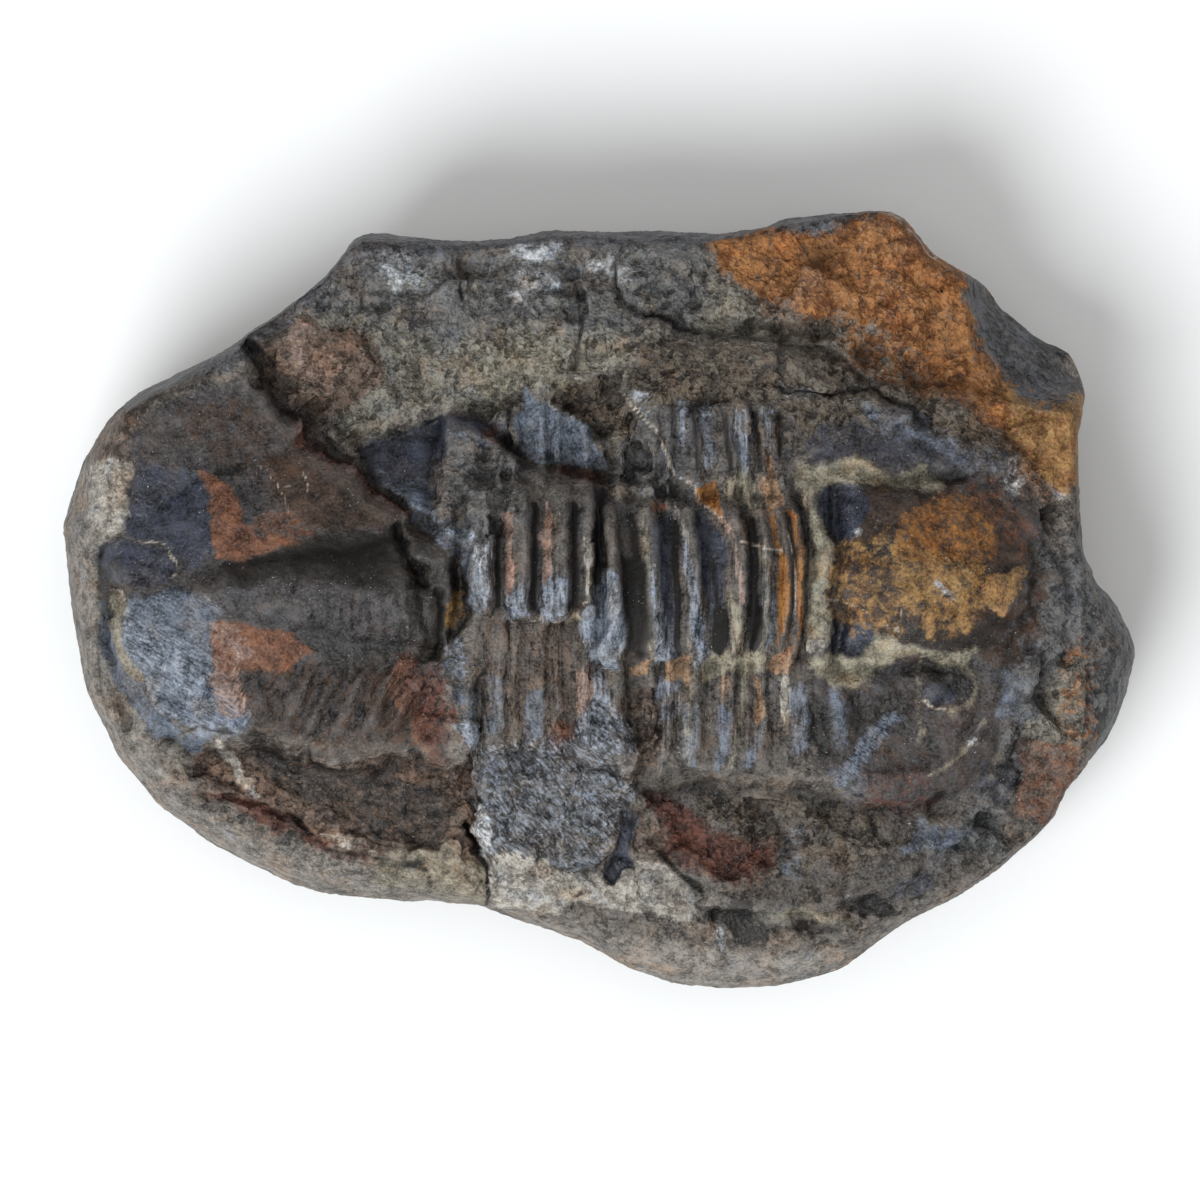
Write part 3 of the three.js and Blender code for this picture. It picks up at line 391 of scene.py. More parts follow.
# Coloured areas of the face: soft spreads an edge, amount above 0 thins a patch out
areas = {
    "left side": dict(tone="rind", soft=1.5, outline=[
        (-62, 24.5), (-56.5, 22), (-56, 14.5), (-52.5, 14.5), (-52.5, 7.5), (-55.5, 4.5), (-56.5, 0),
        (-53.5, -10), (-51, -13.5), (-45.5, -18), (-46.5, -22.5), (-37.5, -26.5), (-21, -30), (-12.5,
        -34.5), (-4.5, -38), (11, -40), (33.5, -45.5), (33.5, -50), (-62, -50)]),
    "left shoulder": dict(tone="brown", soft=2.0, amount=0.3, outline=[
        (-56, 22), (-52, 23), (-52, 18), (-53, 15), (-56, 14)]),
    "bottom side": dict(tone="rind", soft=1.2, outline=[
        (-12.5, -34), (10, -38.5), (20, -39.5), (29, -38.5), (44.5, -31), (51, -25.5), (55.5, -20), (60,
        -11), (64.5, -50), (-13.5, -50)]),
    "olive rock": dict(tone="olive", soft=2.5, outline=[
        (-31, 33), (-20, 37), (11, 38), (18, 33), (29, 30), (38, 24), (33, 22), (10, 29), (4, 28), (3,
        25), (-4, 25), (-9, 24), (-11, 20), (-18, 22), (-27, 18), (-33, 22), (-39, 30)]),
    "olive rock at the top": dict(tone="olive", soft=2.5, amount=0.2, outline=[
        (-28, 40), (11, 40), (11, 38), (-28, 34)]),
    "olive bench": dict(tone="olive", soft=0.8, outline=[
        (10.1, 31.5), (13.4, 34.7), (17.1, 31.4), (16.7, 29.3), (11.7, 29.7)]),
    "tan-olive spots": dict(tone="tan", soft=2.0, amount=0.62, outline=[
        (-9, 28), (-4, 28), (-3, 24), (-9, 24), (-13, 21), (-13, 25)]),
    "dark top edge": dict(tone="slate", soft=1.0, outline=[
        (-30, 41.5), (11, 41.5), (18, 44), (28, 44), (26, 40.5), (24, 40), (17, 40.5), (11, 39.5), (-20,
        38.5), (-27.5, 37.5), (-37.5, 27.5), (-41, 25.5), (-52, 22), (-40, 30)]),
    # painted shade: the top rim and the upper left edge, which face away from the key light, are darkened in
    # colour
    "painted shade at the top rim": dict(tone="dusk", soft=1.2, amount=0.4, outline=[
        (-39, 40.5), (-29, 41.5), (-20, 40.5), (11, 41.5), (11, 39.5), (-20, 38.5), (-27.5, 37.5),
        (-33.5, 34.5), (-37.5, 29), (-40, 30)]),
    "painted shade on the upper left edge": dict(tone="dark", soft=1.0, amount=0.35, outline=[
        (-53.5, 22.5), (-37.5, 31.5), (-35, 30.5), (-37.5, 26.5), (-39.5, 28.5), (-52, 21)]),
    "dark chipped side": dict(tone="slate", soft=0.5, outline=[
        (40.5, 36.4), (43.2, 35.7), (44.5, 33.3), (49.2, 29.5), (51.6, 28.2), (54.5, 25.3), (54.7,
        23.1), (51.4, 23.1), (50.1, 20.7), (47.1, 21.4), (41.7, 29.4)]),
    "right side": dict(tone="ash", soft=1.0, outline=[
        (54, 5), (61, 2), (62.5, -11), (56.5, -18), (54, -15.5)]),
    "pink-brown stone": dict(tone="brown", soft=0.8, outline=[
        (-38.6, 28.8), (-34.8, 30.3), (-33.9, 31.4), (-30.8, 30.3), (-27.2, 30.5), (-24.4, 27.5),
        (-23.9, 24.4), (-28.4, 21.1), (-32.2, 19.9), (-35.5, 22.6), (-37.5, 25.3)]),
    "pink heart of it": dict(tone="pink", soft=2.0, amount=0.62, outline=[
        (-34, 31), (-33, 31), (-29, 26), (-30, 24), (-33, 25), (-35, 28)]),
    "brown below the step": dict(tone="bark", soft=1.5, outline=[
        (11, 28.5), (22.5, 28.5), (31, 23.5), (40, 22), (44.5, 19), (44.5, 14.5), (29, 21), (20, 23.5),
        (4.5, 24.5), (4.5, 27)]),
    "orange face": dict(tone="orange", soft=1.0, outline=[
        (12, 40), (17.5, 40.5), (25, 40.5), (28, 42.5), (32, 43), (40.5, 36.5), (41.5, 28.5), (44.5,
        25.5), (46.5, 21.5), (50.5, 20.5), (54, 22.5), (53, 13), (50.5, 12), (44.5, 19), (38.5, 21.5),
        (36.5, 25.5), (32, 30.5), (28, 30.5), (22, 32), (20.5, 33.5), (16, 34.5), (13.5, 36.5)]),
    "brown on the orange face": dict(tone="brown", soft=2.5, amount=0.48, outline=[
        (17, 34), (22, 33), (27, 30), (31, 30), (38, 25), (46, 16), (43, 14), (29, 25), (20, 30)]),
    "ochre end of the orange face": dict(tone="ochre", soft=2.0, amount=0.4, outline=[
        (44, 24), (50, 21), (54, 23), (53, 13), (50, 12), (46, 18)]),
    "rough brown below the tail": dict(tone="brown", soft=1.5, outline=[
        (-45.5, -16), (-19, -18.5), (-13.5, -18), (-13, -34), (-30, -28), (-44.5, -21.5)]),
    "dark rough band": dict(tone="dark", soft=2.0, amount=0.35, outline=[
        (-39, -16), (-20, -20), (-16, -22), (-18, -28), (-24, -27), (-38, -19)]),
    "brown block": dict(tone="tan", soft=1.0, amount=0.35, outline=[
        (-25.5, -29), (-22, -28), (-13, -28), (-13, -34), (-24.5, -31)]),
    "crushed flecks": dict(tone="rind", soft=2.5, amount=0.76, outline=[
        (-39, -19), (-16, -20), (-16, -26), (-24, -26), (-33, -24)]),
    "red brown below the middle": dict(tone="red", soft=1.6, outline=[
        (5, -21), (8, -21.5), (16, -27.5), (19, -26.5), (19.5, -29.5), (16.5, -31), (9.5, -30), (7, -28)]),
    "grey below the head": dict(tone="grey", soft=2.0, outline=[
        (4, -19), (18, -20), (28, -22), (44, -22), (49, -24), (40, -31), (31, -34), (18, -35), (16,
        -31), (20, -27), (4, -21)]),
    "brown under the head": dict(tone="bark", soft=2.0, amount=0.3, outline=[
        (11, -21), (29, -23), (32, -28), (18, -31)]),
    "rock right of the head": dict(tone="ash", soft=1.5, outline=[
        (45, 4.5), (54, 9), (55, -4.5), (52.5, -5.5), (47.5, -13), (44.5, -29), (38, -28), (44.5, -18),
        (45.5, -9)]),
    "brown right edge": dict(tone="orange", soft=1.5, amount=0.8, outline=[
        (52.5, -4.5), (54.5, -6.5), (54.5, -15.5), (53, -17), (51.5, -14)]),
    "greenish right": dict(tone="olive", soft=1.5, amount=0.35, outline=[
        (47.5, -13), (52.5, -6), (54, -10), (54, -15.5), (49.5, -16.5), (47, -15.5)]),
    "orange right": dict(tone="rust", soft=1.2, amount=0.45, outline=[
        (46.5, -15.5), (53, -16.5), (53.5, -18.5), (50.5, -24), (48.5, -24.5), (46, -24), (47, -20.5)]),
    "dark corner": dict(tone="dark", soft=1.5, amount=0.5, outline=[
        (46, -18), (46.5, -22.5), (44.5, -22.5), (42.5, -18.5)]),
    "dark band above the rings": dict(tone="bark", soft=2.5, amount=0.1, outline=[
        (4, 28), (22, 28), (30, 24), (40, 22), (46, 17), (47, 13), (40, 18), (33, 19), (22, 16), (4, 22)]),
    "brown round the head": dict(tone="brown", soft=1.5, amount=0.2, outline=[
        (33.5, 22.5), (40, 22), (46, 17.5), (50, 11), (45.5, 12), (40, 17.5), (33.5, 20)]),
    "grey of the upper rock": dict(tone="ash", soft=2.5, amount=0.12, outline=[
        (-37, 32), (-32, 38), (-20, 40), (11, 40), (12, 33), (10, 29), (-11, 31), (-16, 28), (-29, 32),
        (-33, 30)]),
    "orange fringe": dict(tone="orange", soft=2.5, amount=0.4, outline=[
        (27, 30), (37, 28), (44, 20), (49, 13), (46, 14), (40, 21), (28, 27)]),
    # tail
    "tail": dict(tone="dusk", soft=1.5, outline=[
        (-52.5, 20.5), (-40, 24.5), (-37.5, 23.5), (-22, 9.5), (-22, 4.5), (-19, -5.5), (-17.5, -14.5),
        (-19, -16.5), (-46, -13.5), (-50, -10), (-55.5, 1), (-55.5, 6), (-52, 7.5)]),
    "brown upper tail": dict(tone="umber", soft=1.8, outline=[
        (-37.5, 16.5), (-32.5, 17), (-28.5, 15), (-22, 9), (-23, 7.5), (-30.5, 7.5), (-36.5, 11)]),
    "brown crest of the tail": dict(tone="umber", soft=3.0, amount=0.45, outline=[
        (-47, 20), (-39, 22), (-25, 12), (-31, 11), (-43, 16)]),
    "rusty lower tail": dict(tone="umber", soft=2.0, amount=0.42, outline=[
        (-41, -8), (-36, -8), (-30, -7), (-22, -8), (-18, -11), (-18, -17), (-30, -17), (-40, -15)]),
    "dark end of the lower lobe": dict(tone="umber", soft=1.5, outline=[
        (-25.5, -6.5), (-19, -7), (-18, -11), (-20, -15.5), (-24, -16.5), (-26, -11)]),
    # painted shade on the tail axis: its upper flank, deepest near the pit, and the strip below the axis,
    # darkened on dark rock
    "painted shade on the tail's upper flank": dict(tone="dark", soft=1.3, outline=[
        (-43, 5), (-36.5, 5.5), (-30.5, 7.5), (-22, 8.5), (-21, -0.5), (-29, 2), (-41, 1.5)]),
    "deepest painted shade on the flank": dict(tone="crack", soft=2.0, amount=0.4, outline=[
        (-34, 6), (-22, 8), (-22, 4), (-34, 4)]),
    "lavender ribs": dict(tone="ash", soft=2.5, amount=0.3, outline=[
        (-39, -8), (-22, -9), (-20, -13), (-22, -16), (-39, -14)]),
    "painted shade below the tail axis": dict(tone="dark", soft=2.0, amount=0.25, outline=[
        (-31, -5), (-20, -6), (-19, -10), (-24, -8), (-30, -8)]),
    "navy tail": dict(tone="navy", soft=1.4, outline=[
        (-51.5, 16), (-44, 13.5), (-43, 5.5), (-45, 4.5), (-52, 7.5)]),
    "dark oval": dict(tone="navy", soft=0.7, outline=[
        (-52.2, 6.8), (-47.5, 5.3), (-46.6, 3.9), (-49.3, 1.8), (-55.3, 1.8), (-55.6, 6.1)]),
    # painted sheen: the bluish grey of the tail's end stands for the light it catches; its streaks are its
    # own
    "painted sheen on the brushed tail end": dict(tone="steel", soft=1.2, outline=[
        (-53, 0), (-47.5, 1.5), (-44.5, 1), (-41.5, -1), (-43, -3.5), (-42.5, -9), (-39, -13), (-39.5,
        -14.5), (-46, -13.5), (-50, -10), (-51.5, -7)]),
    "chalk on the blue": dict(tone="silver", soft=2.5, amount=0.3, outline=[
        (-51, -4), (-49, -4), (-43, -8), (-42, -12), (-45, -12)]),
    "rust wedge": dict(tone="rust", soft=0.7, outline=[
        (-44.1, 14.4), (-41.1, 12.2), (-38.2, 7.1), (-35.1, 7.2), (-33.6, 6.3), (-39.8, 4.2), (-42.7,
        4.8), (-43.3, 6.1)]),
    "ochre lobe": dict(tone="rust", soft=1.5, amount=0.55, outline=[
        (-38.5, 7.5), (-37.5, 9.5), (-33.5, 9.5), (-31.5, 7.5), (-33.5, 6), (-37.5, 6)]),
    "rust patch": dict(tone="rust", soft=0.7, outline=[
        (-43.1, -2.6), (-40.4, -2.1), (-33.7, -3.4), (-33.6, -4.6), (-31.3, -5.9), (-35.5, -8.3),
        (-39.8, -7.8), (-40.8, -9.2), (-42.4, -8.9)]),
    "pink of the rust patch": dict(tone="pink", soft=1.5, amount=0.56, outline=[
        (-43, -3), (-40, -2.5), (-38.5, -5.5), (-40, -7.5), (-42, -8.5)]),
    "pink below the patch": dict(tone="pink", soft=1.3, amount=0.42, outline=[
        (-43, -8), (-40, -7.5), (-39, -13), (-41, -13.5), (-42, -12.5)]),
    "orange at the tail's side": dict(tone="rust", soft=1.6, amount=0.4, outline=[
        (-22.5, -6.5), (-21, -6), (-19.5, -7), (-20.5, -11), (-22, -12.5), (-23, -10)]),
    "pinkish side of the tail": dict(tone="rust", soft=1.6, amount=0.35, outline=[
        (-21, -10), (-18.5, -10), (-17.5, -14.5), (-18.5, -18.5), (-20.5, -16.5)]),
    "red side of the tail": dict(tone="red", soft=1.2, amount=0.3, outline=[
        (-22, -6.5), (-17, -7), (-16.5, -10), (-17.5, -18.5), (-20, -15.5)]),
    "tan crescent": dict(tone="tan", soft=0.5, outline=[
        (-54.8, 0.8), (-53.6, 0.6), (-52.8, -1.2), (-52.5, -4.2), (-50.7, -8.9), (-51.5, -8.9), (-52.8,
        -6.5)]),
    "groove beside it": dict(tone="steel", soft=0.6, amount=0.1, outline=[
        (-55.7, 0.9), (-52.5, -7.1), (-50.7, -10.2), (-48.5, -12.6), (-46.2, -14.2), (-46.6, -15.8),
        (-49.3, -15.5), (-53.5, -10.2), (-55.6, -3.3)]),
    "chip at the lower left": dict(tone="steel", soft=0.5, outline=[
        (-45.9, -14.9), (-43.7, -14.1), (-42.4, -14.3), (-43.8, -16.5), (-45.6, -16.7), (-46.2, -15.8)]),
    "speckled rind": dict(tone="cream", soft=1.0, amount=0.35, outline=[
        (-56.5, 15), (-55, 15.5), (-52, 14.5), (-52, 7.5), (-55.5, 7), (-56.5, 8.5)]),
    # pit
    "facet above the break": dict(tone="navy", soft=0.8, outline=[
        (-27.6, 16.6), (-17.4, 20.5), (-16.1, 18.7), (-19.4, 11.9), (-19.6, 10.3), (-20.8, 10.5),
        (-21.7, 12.4), (-25.3, 13.3)]),
    "fibres on the facet": dict(tone="steel", soft=1.5, amount=0.15, outline=[
        (-24.5, 14.5), (-21.5, 13), (-19, 13.5), (-18, 10.5), (-19.5, 9.5), (-24, 12.5)]),
    "break shadow": dict(tone="red", soft=0.8, amount=0.1, outline=[
        (-37.5, 24.2), (-35.1, 20.6), (-20.2, 8.8), (-21.7, 8.8), (-33.3, 17.7)]),
    "brown lump": dict(tone="umber", soft=1.2, outline=[
        (-22, 8.5), (-19, 8), (-17.5, 7), (-16, 4.5), (-18, 3.5), (-20, 3.5), (-21.5, 5)]),
    # painted shade in the deep pit and on its shadowed side, painted highlight on its lit wall
    "painted shade in the pit": dict(tone="dark", soft=1.5, outline=[
        (-22.5, 5.5), (-16.5, 4.5), (-14.5, 2.5), (-14, 0), (-15.5, -0.5), (-16.5, -4.5), (-19, -6),
        (-20, -4.5)]),
    "painted shade on the pit's dark side": dict(tone="dark", soft=1.0, amount=0.3, outline=[
        (-22.5, 8.5), (-14.5, 4.5), (-14, -1), (-15.5, -4.5), (-18.5, -6.5), (-22, -4.5), (-23, 1)]),
    "painted highlight on the pit wall": dict(tone="silver", soft=1, amount=0.4, outline=[
        (-21, 11), (-15, 8), (-13, 6.5), (-12, 4), (-12.5, -0.5), (-13.5, -1.5), (-14.5, 0), (-14, 2),
        (-15.5, 4.5), (-21, 9.5)]),
    "glint on the wall": dict(tone="chalk", soft=1.0, amount=0.4, outline=[
        (-16, 7.5), (-14.5, 7.5), (-12.5, 5), (-13, 3.5), (-14.5, 5)]),
    "chip in the pit": dict(tone="ochre", soft=0.6, outline=[
        (-16.6, 0.8), (-15.3, 0.6), (-15.3, -2.1), (-15.9, -3.2), (-16.7, -2.5)]),
    "brown right of the pit": dict(tone="ash", soft=1.0, amount=0.35, outline=[
        (-16.5, 19), (-9, 16.5), (-9, 9), (-11.5, 6.5), (-19, 9)]),
    # above the middle
    # painted sheen: the plate's bluish grey stands for its face tilted toward the key light
    "blue plate": dict(tone="steel", soft=0.5, outline=[
        (-9.6, 20.3), (-8.3, 20.9), (-8.3, 24.4), (-6.5, 21.7), (-5.7, 22.2), (-4.9, 21.2), (-0.8,
        19.2), (-1.1, 17.3), (0.9, 15.5), (0.9, 14.2), (-4.6, 15.2), (-6.6, 14.8), (-8.7, 16.4)]),
    "brown patch above it": dict(tone="bark", soft=0.8, outline=[
        (-5.5, 24.4), (1.9, 24.4), (4.1, 20.7), (3.5, 18.7), (0.9, 15.5), (-0.9, 19.2), (-5.5, 22.2)]),
    "red stain one": dict(tone="red", soft=1.0, amount=0.1, outline=[
        (-13, 19.5), (-11.5, 19.5), (-11.5, 17.5), (-12.5, 17.5)]),
    "red stain two": dict(tone="red", soft=0.8, outline=[
        (-5.1, 14.7), (-3.2, 15.1), (0.1, 13.9), (0.5, 12.8), (-4.4, 13.7)]),
    "dark crevice above the rings": dict(tone="crack", soft=1.0, amount=0.1, outline=[
        (-12.5, 18), (-10, 18.5), (-7.5, 15)]),
    "navy left of the plate": dict(tone="navy", soft=1.2, outline=[
        (-16.5, 21), (-11, 19.5), (-9.5, 17.5), (-15.5, 19), (-18, 14.5), (-19, 14), (-19, 17.5)]),
    "pinkish lumps": dict(tone="ash", soft=2.0, amount=0.2, outline=[
        (-17, 16), (-14, 16), (-13, 11), (-17, 10)]),
    "grey right of the patch": dict(tone="ash", soft=1.2, amount=0.3, outline=[
        (1, 20), (4.5, 23.5), (10, 22), (11, 13.5), (13.5, 9.5), (1, 13.5)]),
    # left rings
    "left rings": dict(tone="grey", soft=1.2, outline=[
        (-13.5, 14.5), (-9, 15.5), (0, 13.5), (1.5, 6.5), (1.5, -2.5), (3.5, -13.5), (3, -18), (-4.5,
        -16), (-13.5, -17.5)]),
    # painted shade in the slots between the left rings, on dark rock, and painted sheen on the rings' lit
    # flanks (the pale rings)
    "slot one": dict(tone="dusk", soft=0.5, outline=[
        (-12.2, 7.5), (-11.1, 7.7), (-10.6, 3.2), (-10.8, -0.8), (-11.6, -1.4), (-12.3, -0.7)]),
    "slot two": dict(tone="dusk", soft=0.5, outline=[
        (-8.1, 11.1), (-6.9, 9.9), (-6.4, 1.5), (-6.6, -1.2), (-7.6, -1.5), (-8.3, -0.2)]),
    "slot three": dict(tone="dusk", soft=0.5, outline=[
        (-3.4, 11.1), (-2.3, 9.9), (-1.8, 1.5), (-2.2, -1.2), (-3.2, -1.5), (-3.7, -0.8)]),
    "slot four": dict(tone="dusk", soft=0.5, outline=[(-0.8, 12.8), (1.1, 12.5), (-0.6, 1.1)]),
    "pale ring one": dict(tone="silver", soft=0.9, amount=0.15, outline=[
        (-10.5, 1.1), (-8.2, 1.7), (-8.2, -1.4), (-10.2, -2.3)]),
    "pale ring two": dict(tone="silver", soft=0.9, amount=0.3, outline=[
        (-6.2, 2.4), (-3.6, 2.4), (-3.7, -1.8), (-6.3, -1.8)]),
    "pale ring zero": dict(tone="steel", soft=0.9, amount=0.3, outline=[
        (-13.5, 4.1), (-12.2, 3.2), (-12.4, -0.9), (-13.7, -1.2)]),
    "pink strip one": dict(tone="pink", soft=0.45, outline=[
        (-10.8, 9.8), (-9.3, 9.6), (-9.7, 8.3), (-9.8, 4.4), (-9.3, 3.2), (-9.9, 0.6), (-10.5, 0.8)]),
    "pink strip two": dict(tone="pink", soft=0.45, outline=[
        (-6.2, 11.1), (-5.4, 9.5), (-5.3, 3.2), (-6.2, 1.5), (-6.4, 6.3), (-7.3, 6.6), (-7.1, 7.1),
        (-6.3, 7.1)]),
    "tan strip three": dict(tone="cream", soft=0.3, outline=[
        (-1.8, 7.1), (-0.5, 6.6), (-0.5, 0.4), (-1.4, -0.7)]),
    "silver hill": dict(tone="silver", soft=0.7, outline=[
        (-0.2, 3.8), (1.7, 3.2), (2.7, -0.5), (3.3, -3.4), (2.2, -7.6), (-0.9, -6.7), (-2.2, -3.4),
        (-2.1, -1.4), (-0.6, -0.1)]),
    "silver below the hill": dict(tone="silver", soft=1.0, amount=0.35, outline=[
        (-1, -6.5), (1, -10), (2, -13), (3.5, -14), (3.5, -16.5), (1.5, -17), (-2.5, -15.5), (-2.5,
        -12.5), (-0.5, -11)]),
    "lower side lobe": dict(tone="grey", soft=1.0, outline=[
        (-12.5, -2.5), (-2, -2.5), (0, -11), (-4.5, -16.5), (-13, -17.5)]),
    "brown of the lower lobe": dict(tone="brown", soft=2.0, amount=0.62, outline=[
        (-12, -2), (-2, -2), (-1, -11), (-7, -16), (-11, -11)]),
    "lit rib one": dict(tone="steel", soft=0.8, amount=0.35, outline=[
        (-11.9, -8.1), (-10.6, -8.9), (-10.8, -14.3), (-12.4, -14.7)]),
    "lit rib two": dict(tone="steel", soft=0.8, amount=0.35, outline=[
        (-7.7, -10.1), (-6.2, -10.1), (-6.4, -15.2), (-8.4, -16.1)]),
    "pink rib": dict(tone="pink", soft=1.0, amount=0.35, outline=[
        (-2.5, -7.5), (-1, -7), (-1, -12), (-2.5, -13)]),
    "brown spot by the ribs": dict(tone="rust", soft=0.8, outline=[
        (-5.2, -13.5), (-3.1, -13.6), (-3.1, -15.4), (-4.4, -16.5), (-5.3, -16.1)]),
    "pale left of the crack": dict(tone="silver", soft=0.8, amount=0.4, outline=[
        (-16.9, -4.5), (-14.9, -4.3), (-14.9, -9.4), (-16.9, -8.1)]),
    "maroon-navy": dict(tone="steel", soft=0.6, amount=0.35, outline=[
        (-15.7, -9.5), (-13.6, -9.7), (-13.5, -12.9), (-15.3, -13.3)]),
    "white-blue left of the crack": dict(tone="silver", soft=0.6, outline=[
        (-16.2, -13.8), (-14.5, -13.2), (-13.5, -13.6), (-13.4, -16.7)]),
    "crimson spot": dict(tone="red", soft=0.5, outline=[
        (-16.4, -11.8), (-15.8, -11.8), (-15.7, -13.5), (-16.3, -13.6)]),
    # right rings
    "right rings": dict(tone="grey", soft=1.0, outline=[
        (1.5, 11), (6.5, 12), (13.5, 11), (22.5, 13.5), (23.5, 6.5), (23, -18), (18, -19.5), (4.5,
        -19.5)]),
    # painted shade in the slots of the right rings (the dark, black and bottom ones); the navy rings are
    # dark rock
    "first dark ring": dict(tone="dusk", soft=0.7, outline=[
        (1.8, 11.1), (3.8, 10.2), (5.6, -5.8), (4.5, -6.9), (3.2, -6.9)]),
    "black of slot one": dict(tone="crack", soft=2.0, amount=0.3, outline=[
        (2, 5), (5, 4), (6, -4), (4, -6), (3, -6)]),
    "navy ring": dict(tone="navy", soft=0.8, outline=[
        (5.6, 8.8), (8.1, 9.9), (8.5, -2.3), (9.2, -6.1), (8.1, -6.9), (7.2, -4.5)]),
    "black line": dict(tone="crack", soft=0.4, outline=[
        (7.9, 9.3), (8.7, 8.8), (8.9, 4.4), (8.9, -2.3), (9.4, -5.6), (8.7, -6.7), (8.3, -4.5)]),
    "blue-black ring": dict(tone="navy", soft=0.7, outline=[
        (10.3, 9.9), (11.8, 9.3), (13.8, 6.6), (13.8, -0.1), (12.5, -4.5), (10.7, 4.4)]),
    "black slot three": dict(tone="crack", soft=0.7, outline=[
        (12.5, -0.5), (14.1, -0.7), (14.1, -4.5), (13.2, -6.4), (12.3, -5.6)]),
    "black slot four": dict(tone="dusk", soft=0.6, outline=[
        (16.1, 9.9), (17.4, 8.8), (18.1, 4.4), (18.3, -1.4), (17.8, -5.6), (16.7, -5.8)]),
    "bottom of slot four": dict(tone="crack", soft=0.7, outline=[
        (16.5, -0.9), (18.1, -0.7), (18.1, -4.5), (17.4, -5.8), (16.6, -5.4)]),
    "slot five": dict(tone="umber", soft=0.4, outline=[
        (20.1, 9.9), (21.4, 9.1), (22.1, 4.8), (21.9, -0.1), (20.9, -4.7), (20.5, -4.5), (21.2, 1.1),
        (20.9, 5.5)]),
    "amber ring": dict(tone="amber", soft=0.45, outline=[
        (18.5, 10.5), (19.4, 8.8), (19.8, 6.1), (20.8, 4.4), (21.2, 1.1), (19.8, -5.4), (19.6, 4.8)]),
    "amber ring edge": dict(tone="amber", soft=0.4, outline=[
        (20.3, 10.5), (21.6, 9.5), (22.4, 5.3), (22.6, -2.3), (21.9, -4.5), (21.9, 4.8), (21.2, 8.8)]),
    "pink-amber foot": dict(tone="peach", soft=0.4, outline=[
        (18.5, -7.6), (18.9, -6.5), (21.3, -4.9), (20.8, -8.1), (19.3, -8.2)]),
    "amber web": dict(tone="peach", soft=0.6, amount=0.1, outline=[
        (3.2, -7.6), (5.4, -6.7), (5.7, -8.3), (3.5, -8.3)]),
    "amber-pink web": dict(tone="peach", soft=0.6, outline=[
        (6.9, -7.2), (9.9, -5.8), (10.1, -10.1), (8.9, -8.5), (7.3, -9.2)]),
    "tan web": dict(tone="tan", soft=0.6, outline=[
        (11.2, -6.7), (14.3, -5.2), (14.8, -6.3), (18.3, -5.2), (18.1, -7.6), (16.3, -8.3), (14.3,
        -7.9), (11.2, -9.2)]),
    "tan rib one": dict(tone="peach", soft=0.4, amount=0.45, outline=[
        (13.4, -8.1), (14.4, -8.3), (14.4, -11.3), (13.6, -11.5)]),
    "tan rib two": dict(tone="peach", soft=0.4, outline=[
        (16.9, -8.1), (17.8, -8.7), (18.2, -12.5), (17.4, -14.1), (16.9, -13.6), (17.3, -10.1)]),
    "tan rib three": dict(tone="cream", soft=0.4, outline=[
        (19.9, -8.3), (20.9, -8.5), (20.9, -12.2), (20.4, -14.1), (19.8, -11.7)]),
    # painted sheen on the lower ribs where they face the key light
    "blue rib one": dict(tone="steel", soft=0.8, amount=0.3, outline=[
        (9.4, -11.2), (10.7, -11.6), (10.5, -19.2), (9.2, -18.3)]),
    "blue rib two": dict(tone="steel", soft=0.8, amount=0.3, outline=[
        (13.4, -11.6), (14.8, -12.9), (13.7, -19.4), (12.9, -18.9)]),
    "blue rib three": dict(tone="steel", soft=0.8, amount=0.2, outline=[
        (16.9, -15.6), (18.1, -13.8), (17.1, -18.6), (16.1, -18.7)]),
    "lavender rib": dict(tone="silver", soft=0.9, amount=0.5, outline=[
        (6.7, -8.9), (8.5, -9.4), (8.5, -12.5), (6.9, -13.4)]),
    "rib by the head": dict(tone="steel", soft=0.9, amount=0.4, outline=[
        (21.2, -8.9), (22.7, -9.4), (22.9, -16.3), (21.4, -16.9)]),
    "brown rib": dict(tone="brown", soft=1.0, amount=0.1, outline=[
        (3.5, -10), (6.5, -10), (6.5, -19), (3.5, -19)]),
    # painted sheen on the lit flanks of the right rings; the tan strip is clay
    "grey strip": dict(tone="silver", soft=0.8, amount=0.2, outline=[
        (5.1, 4.4), (6.2, 2.2), (7.6, -6.9), (6.3, -7.2)]),
    "pale strip two": dict(tone="silver", soft=0.7, amount=0.2, outline=[
        (9.2, 6.6), (10.3, 3.3), (12.1, -7.2), (10.7, -7.2)]),
    "pale strip three": dict(tone="tan", soft=0.8, amount=0.3, outline=[
        (14.1, 1.1), (15.6, -2.3), (15.8, -5.6), (14.5, -6.3)]),
    "pale strip four": dict(tone="steel", soft=0.7, amount=0.4, outline=[
        (18.1, 3.3), (19.6, -0.1), (19.2, -4.5), (18.3, -5.6)]),
    "amber corner": dict(tone="amber", soft=0.5, outline=[
        (10.9, 12.2), (12.8, 12.9), (13.7, 8.8), (10.7, 10.8)]),
    "rust web at the top": dict(tone="rust", soft=0.6, outline=[
        (5.8, 10.7), (7.6, 10.5), (7.1, 9.9), (5.9, 9.9)]),
    "tan-grey web": dict(tone="tan", soft=1.0, amount=0.2, outline=[
        (14, 12.5), (15.5, 14.5), (16.5, 13.5), (17, 10.5), (14.5, 11.5)]),
    "ochre web": dict(tone="peach", soft=0.5, outline=[
        (18.1, 16.4), (18.9, 15.9), (20.5, 10.5), (18.9, 9.9), (17.5, 12.4), (17.4, 14.2), (18.4, 13.1)]),
    "navy upper side lobe": dict(tone="navy", soft=1.5, amount=0.62, outline=[
        (4.5, 21), (20, 21.5), (22.5, 17.5), (21, 14.5), (15.5, 14.5), (11, 13.5), (6.5, 14.5)]),
    # head
    "head": dict(tone="dusk", soft=1.2, outline=[
